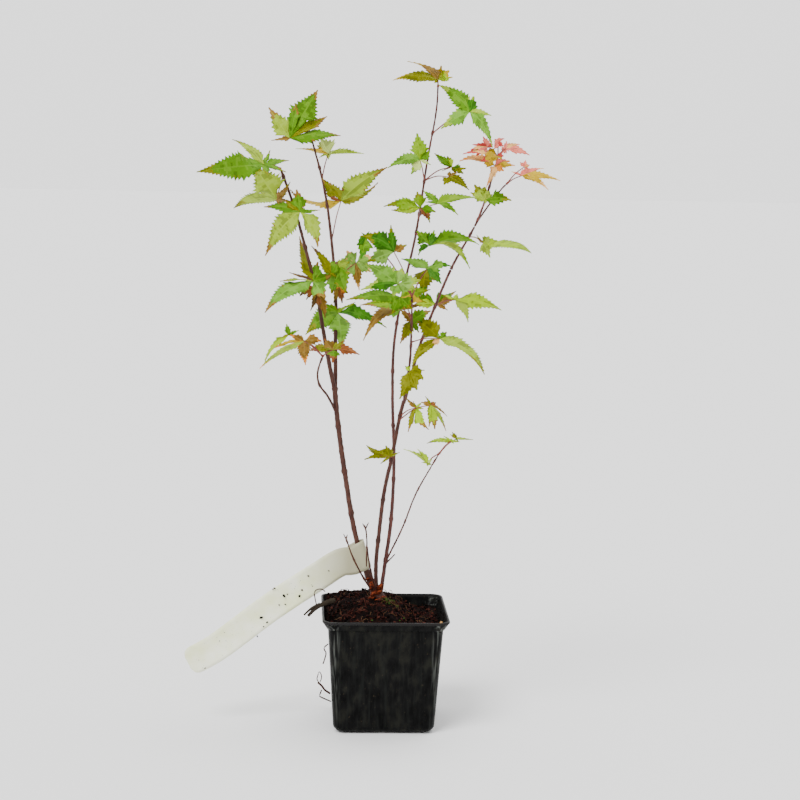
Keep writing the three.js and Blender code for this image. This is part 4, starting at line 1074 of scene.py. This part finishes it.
def face_tint(lobe, edge, tip_starts, turn, column, row, rows):
    """The number of one face's material: the edge's tint near the tip, a lit rib, and blotches of painted
    highlight and shade.
    """
    off_rib = abs(column - RIB)
    patch = blotch(PATCH_GRAIN, column, row, turn, lobe["length"])
    fleck = blotch(FLECK_GRAIN, column, row, turn, lobe["length"])
    near_tip = row / rows + TIP_BY_COLUMN * off_rib + TIP_BY_PATCH * patch > tip_starts
    tint = edge if near_tip or (off_rib == RIB and fleck > MARGIN_FLECK) else lobe["tint"]
    # The lit shade is painted highlight, and on the rib it also gives the paler vein; the dim shade is
    # painted shade
    shade = "even"
    if off_rib == 0 or patch + FLECK_SHARE * fleck > LIT_ABOVE:
        shade = "lit"
    elif patch + FLECK_SHARE * fleck < DIM_BELOW:
        shade = "dim"
    return tint_places.index((tint, shade))


def add_leaf(points, faces, indices, leaf, root, chance):
    """One blade. Its lobes are toothed spindles round the end of the stalk, webbed together near it."""
    _, at, lie, edge, readings = leaf
    end = sighted(*at)
    plane = blade_plane(end, root, lie)
    _, right, up, face = plane
    stalk = math.atan2((root - end).dot(up), (root - end).dot(right))
    facts = [lobe_facts(lobe, end, at[2], plane, lie, chance) for lobe in readings]
    whole = whole_leaf(facts, stalk, chance)
    count = len(whole)
    arch = chance.uniform(*ARCH)
    fold = chance.uniform(*FOLD) * chance.choice(FOLD_WAYS)

    def own_rise(lobe, radius):
        """How far one lobe stands off the blade's plane at a radius: its bow, and its tip's dip."""
        share = min(PAST_TIP, radius / lobe["length"])
        hump = BOW_START * share * (1 - share)
        return hump * (arch * lobe["length"] + lobe["rising"]) + lobe["dip"] * share * share

    def shared_rise(angle, radius):
        """The same between two lobes, so that the web joins them."""
        for i, lobe in enumerate(whole):
            other = whole[(i + 1) % count]
            gap = (other["start"] - lobe["start"]) % math.tau or math.tau
            part = (angle - lobe["start"]) % math.tau
            if part <= gap:
                part = smoothstep(part / gap)
                return own_rise(lobe, radius) * (1 - part) + own_rise(other, radius) * part
        return 0

    def put(lobe, angle, radius, own, extra=0):
        """Adds one point, own of it by its lobe's rise and the rest by the rise shared with the next."""
        rise = own_rise(lobe, radius) * own + shared_rise(angle, radius) * (1 - own)
        place = right * (radius * math.cos(angle)) + up * (radius * math.sin(angle)) + face * (rise + extra)
        points.append(turned(end + place) * 0.001)
        return len(points) - 1

    for i, lobe in enumerate(whole):
        length = lobe["length"]
        sides = {}
        for way, other in ((-1, whole[i - 1]), (1, whole[(i + 1) % count])):
            gap = way * (other["start"] - lobe["start"]) % math.tau or math.tau
            webbed = gap < WIDEST_WEB
            border = lobe["start"] + way * (gap / 2 if webbed else OPEN_EDGE)
            web = WEB_HIGH + (WEB_LOW - WEB_HIGH) * gap / WIDEST_WEB
            sides[way] = (border, web * min(length, other["length"]) if webbed else 0)
        stations = 2 * max(FEWEST_TEETH, round(length / TOOTH_PITCH))
        pitch = length / stations
        rows = []
        for k in range(1, stations):
            share = k / stations
            along = share * length
            heading = lobe["angle"] + BOW_START * lobe["sideways"] * (1 - share) / length
            twist = lobe["twist"] * smoothstep((share - TWIST_FROM) / TWIST_OVER)
            half = lobe_half_width(share) * lobe["width"] / 2
            free = math.atan2(half * math.cos(twist), along)
            crest = k % 2 == 1
            lean = TOOTH_LEAN if crest else NICK_LEAN
            tooth = (LARGE_TOOTH if k % 4 == 1 else SMALL_TOOTH) if crest else NICK
            row = []
            for column in COLUMNS:
                way = -1 if column < 0 else 1
                border, web = sides[way]
                room = max(LEAST_ROOM, way * (border - heading))
                past = (along - web) / (SINUS * length)
                own = smoothstep(past)
                if web:
                    spread = free + (room - free) * (1 if along < web else max(0, 1 - past) ** 2)
                else:
                    spread = min(room, free)
                x, jut = along, 1
                if past > TEETH_FROM:
                    strength = abs(column) ** 3
                    x += pitch * lean * strength
                    jut = 1 + strength * tooth
                y = abs(column) * math.tan(min(WIDEST_SPREAD, spread)) * along * jut
                quilt = QUILT * (1 if crest else -1) * math.sin(math.pi * abs(column))
                turned_off = column * half * jut * math.sin(twist)
                extra = fold * y * (1 - abs(math.sin(twist))) + quilt + turned_off
                row.append(put(lobe, heading + way * math.atan2(y, x), math.hypot(x, y), own, extra))
            rows.append(row)
        base, tip = put(lobe, lobe["angle"], 0, 0), put(lobe, lobe["angle"], length, 1)
        tip_starts = chance.uniform(*TIP_STARTS)
        for k in range(len(rows) + 1):
            for c in range(len(COLUMNS) - 1):
                if k == 0:
                    faces.append((base, rows[0][c], rows[0][c + 1]))
                elif k == len(rows):
                    faces.append((rows[-1][c], tip, rows[-1][c + 1]))
                else:
                    faces.append((rows[k - 1][c], rows[k][c], rows[k][c + 1], rows[k - 1][c + 1]))
                indices.append(face_tint(lobe, edge, tip_starts, i, c, k, len(rows)))


def place_on_stem(name, row):
    """The reading on a stem's middle line at one row of the view."""
    route = smooth_route([Vector(p) for p in STEMS[name]["places"]], 1.0)
    return min(route, key=lambda p: abs(p.y - row))


def thicken(piece, thickness):
    """Gives a flat mesh its thickness, half of it to each side."""
    thick = piece.modifiers.new("thickness", "SOLIDIFY")
    thick.thickness = thickness
    thick.offset = 0
    apply_modifiers(piece)


for seed, (name, (limb, slot, leaves)) in enumerate(FOLIAGE.items()):
    chance = random.Random(100 + seed)
    blades = ([], [], [])
    stalks = ([], [], [])
    for leaf in leaves:
        reading = place_on_stem(limb, leaf[0])
        root, end = seen(reading), seen(leaf[1])
        reach = (end - root).length
        bow = root.lerp(end, 0.5) + Vector((0, 0, STALK_BOW * reach))
        route = smooth_route([root, bow, end], STALK_STEP)
        radii = [STALK_RADIUS - STALK_TAPER * i / len(route) for i in range(len(route))]
        radii[0] = STALK_FOOT
        add_thread(*stalks, route, radii, 0, STALK_SIDES)
        add_leaf(*blades, leaf, sighted(*reading), chance)
    title = name.removeprefix("leaves_")
    leaf_piece = joined_mesh("blades_" + title, *blades, tint_materials, True)
    thicken(leaf_piece, BLADE_THICK)
    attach(leaf_piece, "root")
    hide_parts(name)
    stalk_piece = joined_mesh("stalks_" + title, *stalks, [stalk_material], True)
    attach(stalk_piece, "root")


# Plant label
# A blank strip of thin white plastic whose end is looped round the trunk, so that it hangs out over the
# pot's left side. It is dusty with soil, and its blade is greyed near the loop by painted shade.
LABEL_WIDTH = 25
LABEL_BLADE = [(188, 663, -22), (214, 649, -18), (271, 607, -10), (317, 577, -3), (342, 562, 2)]
LOOP_AT = (361.2, 555.5, 9.4)
LOOP_RADIUS = 5.8
LOOP_RISE = math.radians(28)
TRUNK_LEAN = math.radians(17)
APPROACH, TUCK, TRUNK_GAP = 8, 12, 0.4
END_ROUND, END_SHARE = 8, 0.45
TURN_FROM, TURN_TO = 0.60, 0.76
CUP, CUP_MIDDLE = 0.0009, 0.4
LABEL_STEP, LANES, LABEL_THICK = 0.0016, 8, 0.0006
# Where painted shade greys the blade towards the loop, along the piece's X
SHADE_FROM, SHADE_TO = -0.075, -0.032


def on_loop(u, v):
    """A place in the loop's own plane, in metres: u mm towards its bend and v mm away from the viewer."""
    shift = Vector((u * math.cos(LOOP_RISE), v, u * math.sin(LOOP_RISE)))
    return turned(sighted(*LOOP_AT) + shift) * 0.001


def cupped(across):
    """How far the blade is hollowed at a place across it, from -1 to 1."""
    return CUP * (across * across - CUP_MIDDLE)


places = [seen(p) for p in LABEL_BLADE] + [on_loop(-APPROACH, TRUNK_GAP - LOOP_RADIUS)]
for angle in range(-90, 91, 30):
    bend = math.radians(angle)
    places.append(on_loop(LOOP_RADIUS * math.cos(bend), LOOP_RADIUS * math.sin(bend)))
places.append(on_loop(-TUCK, LOOP_RADIUS))
route = smooth_route(places, LABEL_STEP)
upright = turned((-math.sin(TRUNK_LEAN), 0, math.cos(TRUNK_LEAN)))
viewer = turned((0, -1, 0))
points, faces = [], []
label_frames = []
for i, place in enumerate(route):
    share = i / (len(route) - 1)
    along = (route[min(i + 1, len(route) - 1)] - route[max(i - 1, 0)]).normalized()
    turn = smoothstep((share - TURN_FROM) / (TURN_TO - TURN_FROM))
    side = viewer.cross(along).normalized().lerp(upright, turn)
    side = (side - along * side.dot(along)).normalized()
    inside = min(1, min(share, 1 - share) * len(route) * LABEL_STEP * 1000 / END_ROUND)
    rounding = END_SHARE + (1 - END_SHARE) * math.sqrt(1 - (1 - inside) ** 2)
    half = LABEL_WIDTH / 2 * rounding * 0.001
    thin = along.cross(side)
    label_frames.append((place, side, thin, half))
    for lane in range(LANES + 1):
        across = lane / LANES * 2 - 1
        points.append(place + side * (across * half) + thin * (cupped(across) * (1 - turn)))
for i in range(len(route) - 1):
    for lane in range(LANES):
        a = i * (LANES + 1) + lane
        faces.append((a, a + LANES + 1, a + LANES + 2, a + 1))
label_material, nodes, links, shader = plain_material("white_label_plastic", tone(242, 244, 226), 0.42, 0.3)
grime = object_noise(nodes, links, 60, 5)
dirt = object_noise(nodes, links, 900, 2)
base = ramp(nodes, links, grime, [(0.35, tone(240, 244, 196)), (0.7, tone(253, 254, 232))])
dusty = ramp(nodes, links, dirt, [(0.74, grey(0)), (0.82, grey(0.5))])
base = mix_colours(nodes, links, dusty, base, tone(150, 140, 110))
# Painted shade: the blade goes grey towards the loop
painted_loop_shade = along_axis(nodes, links, "X", SHADE_FROM, SHADE_TO)
base = mix_colours(nodes, links, painted_loop_shade, base, tone(172, 168, 138))
links.new(base, shader.inputs["Base Color"])
add_bump(nodes, links, shader, grime, 0.2, 0.0004)
label = joined_mesh("label_strip", points, faces, [0] * len(faces), [label_material], True)
thicken(label, LABEL_THICK)
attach(label, "root")
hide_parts("plant_label")

# Crumbs of soil on the label: the large ones by column, row and size in mm, and fine ones by chance
LABEL_CRUMBS = [
    (283.6, 596, 2.2), (261.4, 617.4, 1.9), (275, 587.6, 1.4), (298.6, 596.4, 1.5), (302, 590, 1.2),
    (309, 575.6, 1.4), (279, 605, 1.2), (286, 604, 1.0), (266.4, 622.6, 1.2), (257.4, 636, 1.0),
    (263, 627, 0.9), (329, 570.6, 1.0), (205, 668, 1.0), (273, 589, 0.9), (288, 594, 0.8),
]
FINE_CRUMBS, FINE_LEAST, FINE_EXTRA = 60, 0.0002, 0.0005
FINE_ALONG, FINE_ACROSS = (0.03, 0.62), (-0.8, 0.8)
chance = random.Random(77)
points, faces, indices = [], [], []


def add_label_crumb(frame_here, across, size):
    """One crumb on the front of the label, at a place along it and across it."""
    place, side, thin, half = frame_here
    front = thin if thin.dot(viewer) > 0 else -thin
    middle = place + side * (across * half) + thin * cupped(across)
    middle += front * (LABEL_THICK / 2 + size * CRUMB_SHOWS)
    add_lump(points, faces, indices, middle, size, chance, chance.choice((PEAT, PEAT, BARK)))


def miss(frame_here, column, row):
    """How far a reading misses the label's cross line at one of its places, and where it falls on it."""
    place, side, _, half = frame_here
    offset = seen((column, row, -place.dot(viewer) * 1000)) - place
    across = offset.dot(side)
    return (offset - side * across).length, across / half


for column, row, size in LABEL_CRUMBS:
    nearest = min(label_frames, key=lambda f: miss(f, column, row)[0])
    add_label_crumb(nearest, miss(nearest, column, row)[1], size * 0.001)
for _ in range(FINE_CRUMBS):
    nearest = label_frames[int(len(label_frames) * chance.uniform(*FINE_ALONG))]
    add_label_crumb(nearest, chance.uniform(*FINE_ACROSS), FINE_LEAST + FINE_EXTRA * chance.random() ** 3)
specks = joined_mesh("label_specks", points, faces, indices, crumb_materials[:2])
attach(specks, "root")


# Dry stick and root threads
# A split dry stick lies across the rim's left corner with a loop of fibre, and wiry root threads that
# grew out of the pot cling to its left side.
STICK = [(334, 600.5, -34), (325, 603, -42), (315, 609, -46), (308, 616, -48)]
PRONG = [(320, 604, -44), (312, 608, -47), (304, 615, -48)]
STICK_THICK, PRONG_THICK = 0.0024, 0.0014
WOOD_STEP, WOOD_SIDES, WOOD_TAPER = 0.002, 7, 0.5
THREAD_STEP, THREAD_SIDES = 0.0014, 5
# Each thread: its radius in mm, then its places
THREADS = [
    (0.5, [(325, 591.5, -35), (322, 589.2, -37), (317, 589.5, -40), (314.5, 592.5, -42), (315, 598, -43),
           (316.5, 605, -44)]),
    (0.45, [(320, 682, -46), (321.5, 678, -46), (321, 674, -46), (319, 671.5, -46), (318, 675, -46.5),
            (317, 679, -47), (319, 683, -47)]),
    (0.95, [(318, 682.5, -47), (322, 686, -46), (325, 690, -44), (330, 693.5, -42)]),
    (0.6, [(321.5, 690, -46), (320.5, 693, -46), (319.5, 696, -47), (323, 698, -46), (331, 701.5, -42)]),
    (0.6, [(328, 644, -43), (324, 648, -45), (326, 653, -44), (325, 658, -45), (323, 664, -46)]),
]
points, faces, indices = [], [], []
for bend, thick in ((STICK, STICK_THICK), (PRONG, PRONG_THICK)):
    wood = smooth_route([seen(p) for p in bend], WOOD_STEP)
    tapered = [thick * (1 - WOOD_TAPER * i / len(wood)) for i in range(len(wood))]
    add_thread(points, faces, indices, wood, tapered, 0, WOOD_SIDES)
for thick, bend in THREADS:
    thread = smooth_route([seen(p) for p in bend], THREAD_STEP)
    add_thread(points, faces, indices, thread, [thick * 0.001] * len(thread), 1, THREAD_SIDES)
dry = [
    grained_material("dry_wood", tone(44, 37, 29), 0.85, 0.1, 500, 0.0008),
    grained_material("dry_root", tone(52, 25, 20), 0.8, 0.12, 900, 0.0003),
]
litter = joined_mesh("stick_and_roots", points, faces, indices, dry, True)
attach(litter, "root")


# Floor, light and camera
# A plain pale floor and plain soft studio light, from an even sky that is brighter low down and two broad
# suns. The camera stands where the photograph was taken from.
SKY_LOW, SKY_HIGH, SKY_STRENGTH = 0.85, 0.28, 2.2
# Each sun: its name, where it stands, its strength, and how broad it is in degrees
SUNS = (
    ("key_light", (-0.9, -1.1, 1.7), 3.2, 28),
    ("top_light", (0.5, 0.8, 2.2), 2.0, 60),
)
SENSOR_WIDTH = 36

bpy.ops.object.select_all(action="DESELECT")
bpy.ops.mesh.primitive_plane_add(size=30, location=(0, 0, -0.0002))
floor = bpy.context.object
floor.name = "floor"
floor.data.materials.append(plain_material("pale_floor", tone(250, 250, 250), 0.9, 0.1)[0])

world = bpy.data.worlds.new("studio")
bpy.context.scene.world = world
world.use_nodes = True
nodes, links = world.node_tree.nodes, world.node_tree.links
place = nodes.new("ShaderNodeTexCoord")
split = nodes.new("ShaderNodeSeparateXYZ")
links.new(place.outputs["Generated"], split.inputs["Vector"])
stops = [(0, grey(SKY_LOW)), (0.12, grey(SKY_LOW)), (0.4, grey(SKY_HIGH)), (1, grey(SKY_HIGH))]
links.new(ramp(nodes, links, split.outputs["Z"], stops), nodes["Background"].inputs["Color"])
nodes["Background"].inputs["Strength"].default_value = SKY_STRENGTH
for name, place, strength, spread in SUNS:
    light = bpy.data.lights.new(name, "SUN")
    light.energy = strength
    light.angle = math.radians(spread)
    lamp = bpy.data.objects.new(name, light)
    lamp.rotation_euler = (-Vector(place)).to_track_quat("-Z", "Y").to_euler()
    bpy.context.scene.collection.objects.link(lamp)

eye_right, eye_away, eye_up = turned((1, 0, 0)), turned((0, 1, 0)), Vector((0, 0, 1))
tipped_up = eye_away * math.sin(EYE_PITCH) + eye_up * math.cos(EYE_PITCH)
forward = eye_away * math.cos(EYE_PITCH) - eye_up * math.sin(EYE_PITCH)
across = eye_right * math.cos(EYE_ROLL) - tipped_up * math.sin(EYE_ROLL)
upward = eye_right * math.sin(EYE_ROLL) + tipped_up * math.cos(EYE_ROLL)
camera_data = bpy.data.cameras.new("camera")
camera_data.sensor_width = SENSOR_WIDTH
camera_data.lens = SENSOR_WIDTH * VIEW_FOCUS / VIEW_SIZE
camera = bpy.data.objects.new("camera", camera_data)
stand = turned((EYE_SIDE, -EYE_DISTANCE, EYE_HEIGHT)) * 0.001
camera.matrix_world = Matrix.Translation(stand) @ Matrix((across, upward, -forward)).transposed().to_4x4()
bpy.context.scene.collection.objects.link(camera)
bpy.context.scene.camera = camera
